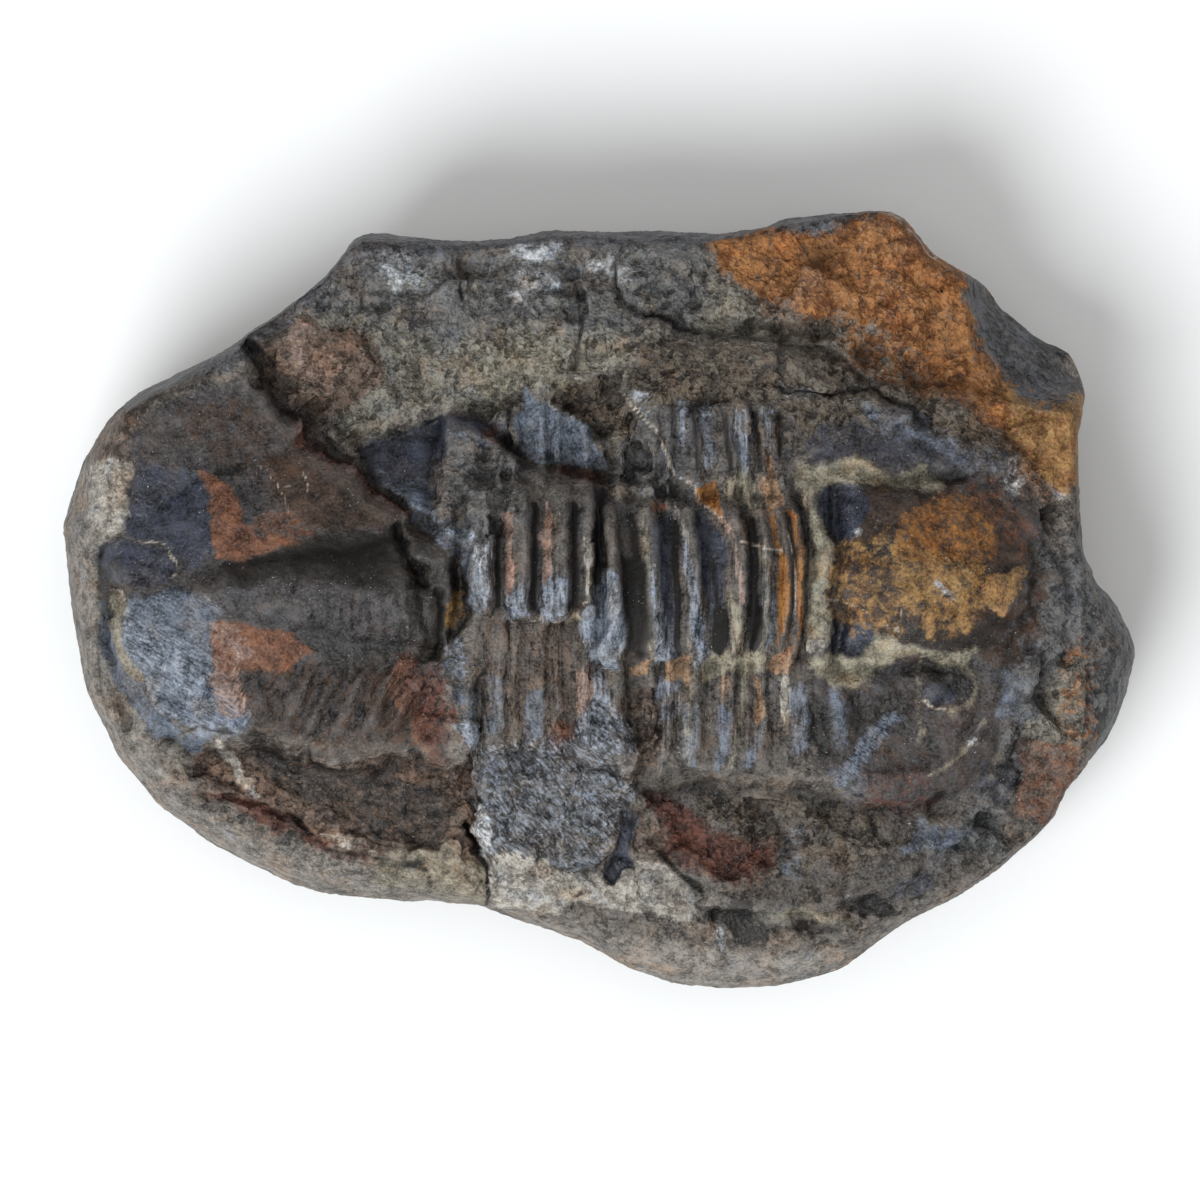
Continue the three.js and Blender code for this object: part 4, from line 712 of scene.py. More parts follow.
        (23, 17.5), (29, 21), (35.5, 21.5), (43.5, 18), (48, 12), (50.5, 4.5), (49.5, -5.5), (42.5,
        -21), (33.5, -23), (24.5, -19), (23, -11)]),
    "grey cheek": dict(tone="grey", soft=2.0, amount=0.3, outline=[
        (23, -7), (31, -9), (44, -7), (46, -16), (40, -21), (33, -23), (24, -19)]),
    "olive cheek": dict(tone="umber", soft=1.4, amount=0.72, outline=[
        (23.5, -10), (31, -9), (44.5, -10), (43.5, -18), (38, -21), (31, -22.5), (25.5, -19)]),
    "glabella": dict(tone="umber", soft=1.6, outline=[
        (24, 12.5), (38, 13), (44.5, 11), (48, 4.5), (46.5, -2.5), (41, -6.5), (25.5, -4.5)]),
    "brown glabella": dict(tone="ochre", soft=2.0, amount=0.62, outline=[
        (25, 6), (31, 7), (36, 4), (33, 0), (33, -4), (28, -3), (25, -1)]),
    "orange glabella": dict(tone="amber", soft=2.5, amount=0.52, outline=[
        (33, 8), (37, 11), (40, 11), (44, 8), (43, 5), (36, 4), (33, 5)]),
    "ochre lower glabella": dict(tone="ochre", soft=1.4, amount=0.2, outline=[
        (31.5, 4), (34, 6), (36.5, 5), (39, 5.5), (42.5, 3.5), (40.5, -3.5), (39, -3.5), (38, -0.5),
        (36.5, -4), (35.5, -1.5), (33, -0.5)]),
    "red-brown glabella": dict(tone="rust", soft=1.8, amount=0.66, outline=[
        (37.5, 12.5), (44.5, 12.5), (48, 7.5), (46.5, 4.5), (44.5, 9)]),
    "olive spot": dict(tone="umber", soft=1.2, outline=[
        (39.5, 6.5), (44.5, 6.5), (46.5, 5), (43.5, 3.5), (40, 4)]),
    "navy window": dict(tone="navy", soft=0.6, outline=[
        (24.2, 12.5), (28.4, 12.5), (29.7, 11.2), (30.2, 9.9), (28.8, 8.9), (27.7, 6.9), (25.5, 6.9),
        (25.4, 8.1), (24.3, 9.2)]),
    "navy window below": dict(tone="navy", soft=0.6, outline=[
        (25.2, -2.4), (30.4, -3.1), (30.2, -4.8), (28.2, -6.4), (26.3, -6.3), (25.5, -5.7)]),
    "dark shell": dict(tone="dark", soft=1.2, outline=[
        (28.5, 7), (33.5, 7), (33.5, 5), (31, 3.5), (29, 4.5)]),
    "dark shell below": dict(tone="dark", soft=1.2, amount=0.1, outline=[
        (30.5, -3.5), (33.5, -1), (36.5, -4), (40, -4), (43.5, -1.5), (45, -2.5), (43.5, -5.5), (35.5,
        -5.5), (31.5, -4.5)]),
    "furrow at the top": dict(tone="tan", soft=0.6, outline=[
        (21.6, 13.7), (22.3, 15.6), (23.6, 14.8), (28.8, 15.3), (31.7, 14.3), (35.3, 14.4), (37.6,
        13.2), (37.2, 12.5), (31.7, 13.1), (24.5, 12.4), (23.8, 11.7), (24.2, 9.3), (25.4, 6.6), (25.6,
        4.4), (23.6, 4.4), (23.2, 9.4)]),
    "furrow behind the glabella": dict(tone="tan", soft=0.7, outline=[
        (23.2, 6.6), (24.7, 6.1), (25.5, 4.6), (24.9, -4.5), (22.9, -4.5)]),
    "pale heart of it": dict(tone="cream", soft=1.0, amount=0.1, outline=[
        (23.5, 6), (24.5, 5.5), (25.5, 4.5), (25, -4.5), (23, -4.5)]),
    "pale furrow": dict(tone="cream", soft=1.0, amount=0.25, outline=[
        (23, -1), (25, -1.5), (25, -5.5), (23, -6)]),
    "furrow at the bottom": dict(tone="tan", soft=0.6, outline=[
        (22.5, -7.2), (25.5, -6.1), (28.8, -6.1), (30.5, -4.1), (35.3, -5.5), (41.6, -5.9), (40.9,
        -7.1), (39.8, -7.3), (33.9, -6.1), (31.4, -6.9), (30.4, -8.5), (27.5, -9.8), (23.6, -8.5)]),
    # painted shade on the glabella's right flank
    "painted shade on the glabella's right flank": dict(tone="umber", soft=1.6, amount=0.2, outline=[
        (46.5, 7), (48.5, 5.5), (49.5, 0), (48, -5.5), (45, -8), (42, -6.5), (45.5, -4), (47.5, 0.5)]),
    "navy above the head": dict(tone="navy", soft=1.4, amount=0.4, outline=[
        (22.5, 17.5), (25.5, 19.5), (33.5, 19), (39, 17), (39.5, 15), (23.5, 15.5), (22.5, 16)]),
    "grey flakes above the head": dict(tone="steel", soft=1.2, amount=0.5, outline=[
        (29, 21.5), (34.5, 21.5), (36.5, 19.5), (44.5, 16.5), (45.5, 13.5), (40, 14.5), (36.5, 17.5),
        (31, 19)]),
    "shell chip": dict(tone="ochre", soft=0.3, outline=[
        (42.3, 1.7), (43.2, 2.8), (45.1, 2.4), (46.8, 3.6), (47.3, 3.2), (46.9, 1.5), (44.9, -1.4),
        (43.4, -1.1), (42.1, -0.1)]),
    # painted highlight where the cheek ridge faces the key light
    "cheek ridge": dict(tone="steel", soft=1.6, outline=[
        (25.5, -9.5), (27.5, -12), (26.5, -16), (26, -16.5)]),
    "dark beside the ridge": dict(tone="dark", soft=1.0, outline=[
        (23, -10), (25, -11), (25.5, -16.5), (24.5, -17.5), (23, -15.5)]),
    "dark cheek": dict(tone="dark", soft=1.6, amount=0.2, outline=[
        (27.5, -10.5), (33.5, -9.5), (32.5, -12), (27.5, -15.5)]),
    "fibres in the crease": dict(tone="steel", soft=0.7, amount=0.2, outline=[
        (32.5, -12.1), (33.4, -12.7), (26.5, -21.4), (26.1, -20.1), (27.6, -17.2), (29.6, -14.5)]),
    "silver below the crease": dict(tone="steel", soft=1.2, amount=0.6, outline=[
        (26, -19), (29, -19.5), (29.5, -22.5), (27.5, -23)]),
    "eye": dict(tone="navy", soft=0.6, outline=[
        (35.7, -9.5), (38.9, -9.7), (39.4, -10.6), (39.2, -11.7), (36.8, -11.6), (35.8, -10.7)]),
    "dark above the eye": dict(tone="dark", soft=1.0, amount=0.35, outline=[
        (36.5, -7), (40.5, -7), (41, -9.5), (36.5, -9)]),
    "red below the cheek": dict(tone="red", soft=1.5, amount=0.62, outline=[
        (28.5, -19.5), (36.5, -19), (37.5, -22.5), (33.5, -23.5), (28.5, -22.5)]),
    "blue beside the cheek": dict(tone="steel", soft=1.2, amount=0.5, outline=[
        (44.5, -8), (46.5, -8.5), (46.5, -12.5), (44.5, -13)]),
    "blue below the cheek": dict(tone="steel", soft=1.6, amount=0.2, outline=[
        (35, -25), (40, -26), (40, -27.5), (37.5, -28.5), (33.5, -27.5)]),
    "navy right": dict(tone="navy", soft=1.5, amount=0.6, outline=[
        (42.5, -18), (46.5, -18.5), (46.5, -22), (43.5, -21.5)]),
    # lower rock
    "silver break": dict(tone="ash", soft=1.5, amount=0.1, outline=[
        (-13, -17.5), (-4.5, -16.5), (1, -18), (3.5, -21), (-0.5, -30), (-13.5, -28), (-14.5, -23.5)]),
    "glints on the break": dict(tone="silver", soft=2.0, amount=0.72, outline=[
        (-13, -17), (-4, -16), (1, -18), (3, -21), (-1, -30), (-13, -28), (-14, -23)]),
    "blue edge of the break": dict(tone="chalk", soft=0.4, amount=0.3, outline=[
        (-14.2, -22.8), (-12.9, -22.7), (-12.4, -27.9), (-13.4, -28.5), (-14.1, -25.8)]),
    "grey-blue left of the crack": dict(tone="ash", soft=1.5, amount=0.3, outline=[
        (-18, -20.5), (-15, -20), (-14.5, -26.5), (-16.5, -26.5)]),
    "blue-black step": dict(tone="navy", soft=0.7, outline=[
        (2.5, -23.2), (3.8, -23.4), (3.8, -29.6), (1.8, -31.5), (0.4, -30.5), (1.6, -27.8)]),
    "cream break": dict(tone="cream", soft=0.9, outline=[
        (-13.1, -28.5), (-8.8, -27.9), (-6.1, -28.6), (-3.7, -30.3), (0.3, -30.4), (0.7, -31.6), (-1.9,
        -32.3), (-4.6, -34.3), (-8.1, -34.5), (-11.1, -33.8), (-12.4, -32.8)]),
    "cream step": dict(tone="cream", soft=0.6, outline=[
        (1.8, -31.4), (4.6, -28.8), (6.5, -28.9), (8.4, -29.9), (11.1, -32.5), (9.9, -35.9), (-2.8,
        -33.5), (-2.1, -32.4)]),
    "pink-grey strip": dict(tone="brown", soft=1.2, amount=0.4, outline=[(3.5, -22.5), (9, -30), (4, -28)]),
    "dark ledge": dict(tone="dark", soft=0.7, outline=[
        (10.3, -35.4), (11.6, -34.3), (15.5, -34.3), (18.9, -36.2), (18.8, -38.3), (15.7, -38.1), (12.9,
        -36.3)]),
    "dark ledge two": dict(tone="dark", soft=0.7, amount=0.2, outline=[
        (19.3, -36.7), (22.8, -35.6), (25.9, -35.8), (27.1, -36.7), (25.6, -37.6), (19.8, -37.8)]),
    "dark ledge three": dict(tone="dark", soft=0.7, outline=[
        (27.8, -33.7), (31.1, -32.3), (33.4, -34.6), (28.9, -35.7)]),
    "dark ledge four": dict(tone="slate", soft=0.7, outline=[
        (32.1, -32.2), (33.8, -30.6), (35.8, -30.3), (37.6, -32.1), (35.2, -32.9), (32.6, -32.7)]),
    "blue streak in the grey": dict(tone="steel", soft=1.2, amount=0.5, outline=[
        (20.5, -25.5), (22, -25.5), (22, -30.5), (20.5, -30.5)]),
    "red stain below": dict(tone="red", soft=1.5, amount=0.3, outline=[
        (17, -26.5), (19.5, -27), (19, -29.5), (17.5, -29.5)]),
    "diagonal pale streak": dict(tone="cream", soft=0.8, amount=0.1, outline=[
        (-42.3, -14.7), (-37.9, -21.9), (-38.9, -21.9), (-41.7, -17.9), (-42.6, -16.1)]),
    "pale ledge": dict(tone="cream", soft=0.8, amount=0.5, outline=[
        (-31.1, -25.8), (-26.1, -26.9), (-25.2, -28.1), (-28.3, -27.4)]),
    # painted shadow along the ledge's step, in a reddish dark
    "dark-red ledge": dict(tone="red", soft=1.0, outline=[
        (-43, -21.5), (-37.5, -22.5), (-32, -25.5), (-29.5, -28), (-25.5, -28.5), (-25.5, -29.5), (-30,
        -28.5), (-33.5, -26), (-42.5, -22.5)]),
    "brown hollow": dict(tone="dark", soft=1.4, outline=[
        (-39, -16), (-34, -17.5), (-33, -19.5), (-35, -19.5), (-37.5, -18)]),
    "crushed one": dict(tone="chalk", soft=1.6, amount=0.3, outline=[
        (-24, 38), (-22, 38), (-19.5, 36), (-20.5, 34.5), (-22.5, 34.5)]),
    "crushed two": dict(tone="chalk", soft=1.0, outline=[
        (-9.5, 38), (-8.5, 39), (-4.5, 39.5), (-5.5, 38.5), (-8, 37.5)]),
    "crushed three": dict(tone="chalk", soft=1.2, amount=0.42, outline=[
        (-1, 37.5), (3.5, 37), (3.5, 35.5)]),
    "crushed four": dict(tone="chalk", soft=1.4, amount=0.42, outline=[
        (-9, 36), (-5, 34.5), (-5, 34), (-7, 34.5), (-9, 33), (-9.5, 33.5)]),
    "glints at the head's edge": dict(tone="chalk", soft=0.8, amount=0.6, outline=[
        (45.2, 15.3), (45.9, 14.8), (46.9, 12.2), (46.1, 11.5), (44.9, 12.6), (45.6, 13.9)]),
}

# Thin lines: half is half their width
strokes = {
    "pale lip of the tail": dict(tone="rind", half=0.5, soft=0.8, line=[
        (-56.7, 1.9), (-54.1, -9.6), (-49.8, -15.7)]),
    "pale crack on the tail": dict(tone="vein", half=0.1, line=[
        (-52.2, 7.4), (-50.6, 6.5), (-49.4, 6.5), (-48.1, 5.8), (-46.7, 4.7), (-46.5, 4.1)]),
    "pale crack end": dict(tone="vein", half=0.08, line=[(-46.7, 3.7), (-47.7, 2.9)]),
    "hook on the tail rim": dict(tone="vein", half=0.12, line=[
        (-55.1, 0.8), (-54.2, 0.9), (-53.5, 0.4), (-53.2, -0.5)]),
    "line on the tail": dict(tone="vein", half=0.06, line=[(-45.6, 1.5), (-43.9, 0.5), (-42.2, -0.7)]),
    "scratch one": dict(tone="vein", half=0.07, line=[(-38.9, 15.6), (-37.7, 14.4), (-36.4, 13.3)]),
    "scratch two": dict(tone="vein", half=0.09, line=[(-35.8, 12.9), (-34.9, 11.3), (-34.2, 9.7)]),
    "scratch three": dict(tone="vein", half=0.07, line=[(-32.8, 15.8), (-32.4, 13.8), (-31.8, 11.9)]),
    "scratch four": dict(tone="vein", half=0.07, line=[(-34.6, 12.5), (-33.7, 12.5)]),
    "break line": dict(tone="crack", half=0.2, soft=0.9, line=[(-39.7, 28.2), (-35.5, 20.8), (-21.9, 9.7)]),
    "rim of the chip": dict(tone="crack", half=0.12, line=[
        (-45.8, -14.5), (-43.5, -13.8), (-42.4, -14.1), (-39.8, -15.1), (-37.5, -15.8)]),
    "crack in the middle": dict(tone="crack", half=0.16, line=[
        (-13.4, -2.9), (-12.9, -3.6), (-12.5, -4.5), (-12.7, -6.3), (-12.4, -6.9), (-12.8, -7.8),
        (-13.3, -8.7), (-13.5, -10.1)]),
    # painted shade: black cores of the ring slots
    "core of slot one": dict(tone="crack", half=0.3, soft=0.7, line=[(-11.4, 7.1), (-11.3, -0.7)]),
    "core of slot two": dict(tone="crack", half=0.35, soft=0.7, line=[(-7.3, 10.4), (-7.2, -0.7)]),
    "core of slot three": dict(tone="crack", half=0.35, soft=0.7, line=[(-2.8, 10.4), (-2.7, -0.7)]),
    "core of slot four": dict(tone="crack", half=0.35, soft=0.8, line=[(0.3, 12.2), (-0.3, 1.9)]),
    "core of slot A": dict(tone="crack", half=0.5, soft=1.2, line=[(3.5, 9.5), (5, -2.5), (4.5, -6)]),
    "core of slot C": dict(tone="crack", half=0.3, soft=0.8, line=[
        (12.3, 4.4), (13.2, -1.2), (13.1, -5.6)]),
    "core of slot D": dict(tone="crack", half=0.4, soft=0.8, line=[(16.7, 9.1), (17.5, -4.9)]),
    "core of slot E": dict(tone="crack", half=0.2, soft=0.7, line=[(20.7, 9.5), (21.5, 4.4), (21.3, -1.2)]),
    "tail rib one": dict(tone="ash", half=0.4, soft=1.6, line=[(-34, -9.5), (-36, -15)]),
    "tail rib two": dict(tone="ash", half=0.4, soft=1.6, line=[(-30.5, -8.5), (-32.5, -15.5)]),
    "tail rib three": dict(tone="ash", half=0.4, soft=1.6, line=[(-27.5, -9), (-29.5, -15.5)]),
    "tail rib four": dict(tone="ash", half=0.4, soft=1.6, line=[(-24, -8), (-26, -15)]),
    # painted sheen along the tail's lit border
    "painted sheen on the tail's border": dict(tone="silver", half=0.35, soft=1.4, line=[
        (-52.5, -1.5), (-50.5, -8.5), (-48.5, -11.5), (-45, -13.5), (-40.5, -14.5)]),
    "pale end of the crack": dict(tone="vein", half=0.1, line=[
        (-13.5, -10.4), (-13.3, -12.6), (-13.5, -15.1), (-13.6, -16.7)]),
    "slot end one": dict(tone="vein", half=0.12, line=[(-8.2, -1.9), (-7.3, -2.2), (-6.5, -1.8)]),
    "slot end two": dict(tone="tan", half=0.25, line=[(-4.4, -2.3), (-3.3, -2.4), (-2.2, -1.8)]),
    "twig": dict(tone="pink", half=0.15, line=[(-7.1, 6.8), (-5.9, 6.6)]),
    "edge of the plate": dict(tone="vein", half=0.12, line=[
        (-5.7, 22.2), (-5.2, 21.3), (-3.4, 20.1), (-2.2, 19.7)]),
    # painted highlight along the edge by the pit
    "painted highlight on the edge by the pit": dict(tone="steel", half=0.18, soft=0.8, line=[(-16.6, 18.9), (-12.6, 17.5)]),
    "pink vein": dict(tone="vein", half=0.16, line=[
        (2.2, 23.1), (3.6, 21.6), (5.2, 19.7), (6.4, 18.2), (7.4, 15.9), (8.4, 13.8), (10.4, 12.6),
        (11.3, 10.5), (13.6, 8.9)]),
    "pink ring edge": dict(tone="pink", half=0.28, line=[
        (13.6, 8.9), (14.6, 7.3), (14.9, 4.4), (15.7, 2.2), (15.7, -0.1)]),
    "white vein": dict(tone="vein", half=0.15, line=[(15.2, 6.5), (16.3, 6.3), (18.1, 5.8), (20.2, 5.3)]),
    # painted highlights on the upper ribs and painted shade in the slots between them
    "upper crest one": dict(tone="silver", half=0.3, soft=0.9, line=[(8.9, 21.8), (9.1, 17.5)]),
    "upper crest two": dict(tone="silver", half=0.4, soft=0.9, line=[(11.8, 21.2), (12.2, 14.9)]),
    "upper crest three": dict(tone="silver", half=0.4, soft=0.9, line=[(15.5, 20.6), (15.9, 13.9)]),
    "upper crest four": dict(tone="silver", half=0.3, soft=0.9, line=[(18.4, 20.8), (18.7, 17.1)]),
    "upper slot one": dict(tone="crack", half=0.3, soft=0.8, line=[(10.5, 21.1), (10.8, 14.4)]),
    "upper slot two": dict(tone="crack", half=0.3, soft=0.8, line=[(13.9, 20.8), (14.4, 14.4)]),
    "upper slot three": dict(tone="crack", half=0.3, soft=0.8, line=[(17.2, 20.8), (17.5, 14.4)]),
    "upper slot four": dict(tone="crack", half=0.3, soft=0.8, line=[(19.8, 20.5), (19.9, 16.1)]),
    "crest A": dict(tone="tan", half=0.14, soft=0.7, line=[(4.8, 9.7), (5.8, -7.2)]),
    "crest B": dict(tone="rind", half=0.16, soft=0.7, line=[(8.4, 11.1), (9.6, 6.6), (10.3, -7.2)]),
    "crest D": dict(tone="tan", half=0.14, soft=0.7, line=[
        (17.7, 6.1), (18.6, 1.1), (18.4, -3.4), (17.5, -6.3)]),
    "crest under A": dict(tone="tan", half=0.09, soft=0.6, line=[(10.1, -8.5), (9.5, -18.7)]),
    "crest under B": dict(tone="rind", half=0.12, soft=0.6, line=[(7.2, -9.4), (6.7, -18.9)]),
    "crest under C": dict(tone="tan", half=0.09, soft=0.6, line=[(15.8, -8.5), (14.9, -18.5)]),
    "thin ring line": dict(tone="vein", half=0.08, line=[
        (20.7, 7.7), (21.4, 4.4), (21.7, 1.1), (21.4, -3.4)]),
    "vein on the glabella": dict(tone="vein", half=0.09, line=[
        (25.5, -0.2), (27.7, -0.7), (29.5, -2.1), (31.7, -3.2), (33.1, -3.8)]),
    "vein on the glabella two": dict(tone="vein", half=0.08, line=[(32.9, -3.8), (33.6, -1.4)]),
    "line under the eye": dict(tone="tan", half=0.12, line=[
        (35.8, -6.9), (35.3, -8.5), (35.1, -11.2), (35.1, -15.8)]),
    "rim of the eye": dict(tone="vein", half=0.1, line=[
        (35.7, -11.1), (36.4, -11.6), (37.3, -12.1), (38.7, -12.4)]),
    "line round the eye": dict(tone="tan", half=0.12, line=[
        (39.2, -6.9), (40.5, -7.3), (41.3, -8.6), (41.4, -10.4), (40.5, -11.3), (39.1, -12.4)]),
    "head border": dict(tone="tan", half=0.08, line=[
        (42.7, -13.6), (42.1, -15.4), (40.5, -16.9), (38.9, -18.4), (36.7, -19.2)]),
    "spark by the border": dict(tone="chalk", half=0.2, line=[(41.4, -15.8), (41.8, -15.4)]),
    # painted shade on the faces of the steps and in the crevice under them
    "step line": dict(tone="crack", half=0.2, soft=1.3, line=[
        (2, 37.5), (2.5, 33.5), (5.5, 31.5), (11.5, 29), (25.5, 28), (31, 24)]),
    "crevice line": dict(tone="crack", half=0.2, soft=1.3, line=[
        (20, 23.5), (23.5, 23), (30, 23.5), (34.5, 21.5), (36, 19.5)]),
    "step at the top": dict(tone="crack", half=0.15, soft=1.2, line=[(-18, 37.5), (-15.5, 33)]),
    "step at the top two": dict(tone="crack", half=0.15, soft=1.4, line=[
        (-4.5, 37.5), (-3, 35.5), (-2.5, 32.5), (-2, 27.5), (-3, 26)]),
    "crease in the pink stone": dict(tone="crack", half=0.12, line=[
        (-26.6, 29.7), (-26.1, 27.7), (-25.2, 26.3)]),
    "crack in the pink stone": dict(tone="crack", half=0.12, soft=1.3, line=[(-39.5, 29), (-33.5, 23)]),
    "lower crack": dict(tone="crack", half=0.25, line=[
        (-15.4, -24.8), (-14.2, -26.8), (-13.6, -28.1), (-12.8, -29.8), (-12.6, -31.7), (-12.9, -33.8)]),
    "right flank of the break": dict(tone="crack", half=0.2, soft=1.2, line=[(3, -22.5), (3.5, -28)]),
    "crack by the red": dict(tone="crack", half=0.25, soft=1.2, line=[(6.5, -28), (11, -32.5)]),
    "crack below": dict(tone="crack", half=0.12, line=[(27.5, -27.5), (27.2, -31.2), (27.2, -33.7)]),
    # painted shade along the step of the ledge
    "ledge crack": dict(tone="crack", half=0.3, soft=1.2, line=[
        (-34, -24.5), (-30, -28), (-20, -29.5), (-19, -30.5), (-19, -32)]),
    "crack right of the cheek": dict(tone="crack", half=0.12, line=[
        (47.1, -13.5), (46.4, -15.8), (45.4, -17.3), (45.5, -18.6), (46.6, -19.9), (46.5, -21.3)]),
    "edge of the chipped side": dict(tone="vein", half=0.1, line=[
        (32.1, 43.1), (33.4, 41.3), (35.6, 39.6), (37.4, 38.4)]),
    "crystal line": dict(tone="chalk", half=0.12, soft=1.2, line=[(20, 23.5), (23.5, 23)]),
    "crystal one": dict(tone="chalk", half=0.25, line=[(4.1, 22.4), (5.2, 23.3)]),
    "crystal two": dict(tone="chalk", half=0.25, line=[(4.9, 20.8), (5.2, 20.8)]),
    "crystal three": dict(tone="chalk", half=0.25, line=[(50.3, 12.2), (50.7, 11.8)]),
    "crystal four": dict(tone="chalk", half=0.3, line=[(12.8, -36.7), (13.6, -39.2)]),
    "crystal five": dict(tone="chalk", half=0.2, line=[(28.1, 7.7), (28.3, 7.4)]),
    "crystal six": dict(tone="chalk", half=0.25, line=[(37.6, 1.3), (38.5, 0.4)]),
    # painted shade in the crevices of the pit
    "crevice left of the lump": dict(tone="crack", half=0.35, soft=1.0, line=[
        (-22.5, 8), (-22, 5.5), (-19, 1.5)]),
    "crevice by the chip": dict(tone="crack", half=0.4, soft=1.0, line=[
        (-17.5, 1), (-17, -1.5), (-18, -5.5)]),
    "pale ledge line": dict(tone="tan", half=0.25, soft=1.2, line=[(18, -35.5), (22.5, -34.5), (27, -36)]),
    "rind line": dict(tone="vein", half=0.12, line=[(22.3, -41.1), (25.6, -40.9)]),
}


def toneDistances(x, y):
    # how far inside its nearest patch each point lies, for every tone, in millimetres
    fields = {name: np.full(x.shape, -4.0) for name in tones}
    for area in areas.values():
        depth = depthInside(x, y, area["outline"]) / area["soft"]
        top = 3 - 6 * area.get("amount", 0) if "amount" in area else 4
        fields[area["tone"]] = np.maximum(fields[area["tone"]], np.clip(depth, -4, min(4, 0.16 * top)))
    for stroke in strokes.values():
        depth = (stroke["half"] - lineDistance(x, y, stroke["line"])) / stroke.get("soft", 0.6)
        fields[stroke["tone"]] = np.maximum(fields[stroke["tone"]], np.clip(depth, -4, 4))
    return fields


def outlineRadius(outline, angles):
    # distance from the middle to a closed outline, in each direction
    radius = np.zeros(angles.shape)
    dx, dy = np.cos(angles), np.sin(angles)
    for (ax, ay), (bx, by) in zip(outline, outline[1:] + outline[:1]):
        sideA, sideB = dx * ay - dy * ax, dx * by - dy * bx
        crosses = (sideA * sideB <= 0) & (sideA != sideB)
        t = np.where(crosses, sideA / np.where(sideA == sideB, 1, sideA - sideB), 0)
        reach = dx * (ax + t * (bx - ax)) + dy * (ay + t * (by - ay))
        radius = np.where(crosses, np.maximum(radius, reach), radius)
    return radius


def radiusTable(outline, steps=1440, blur=3):
    angles = np.linspace(-math.pi, math.pi, steps, endpoint=False)
    radius = outlineRadius(outline, angles)
    soft = sum(np.roll(radius, shift) for shift in range(-blur, blur + 1)) / (2 * blur + 1)
    return np.append(angles, math.pi), np.append(soft, soft[0])


rimTable = radiusTable(rimPoints)
noduleTable = radiusTable(nodulePoints)


def rimRadius(angle):
    return np.minimum(np.interp(angle, *rimTable), np.interp(angle, *noduleTable) - 0.4)


def readPoints(bm):
    return np.array([v.co[:] for v in bm.verts])


def writePoints(bm, points):
    for vert, point in zip(bm.verts, points.tolist()):
        vert.co = point


def roundFace(points):
    # turns the square grid into the shape of the face, rows and columns evenly spread
    u, v = points[:, 0], points[:, 1]
    dx, dy = u * np.sqrt(1 - v * v / 2), v * np.sqrt(1 - u * u / 2)
    reach = np.hypot(dx, dy)
    ex, ey = 55 * dx, 39 * dy
    angle = np.arctan2(ey, ex)
    unit = np.hypot(ex, ey) / np.maximum(reach, 1e-6)
    radius = reach * (unit + (rimRadius(angle) - unit) * reach ** 3)
    return radius * np.cos(angle), radius * np.sin(angle), angle, radius


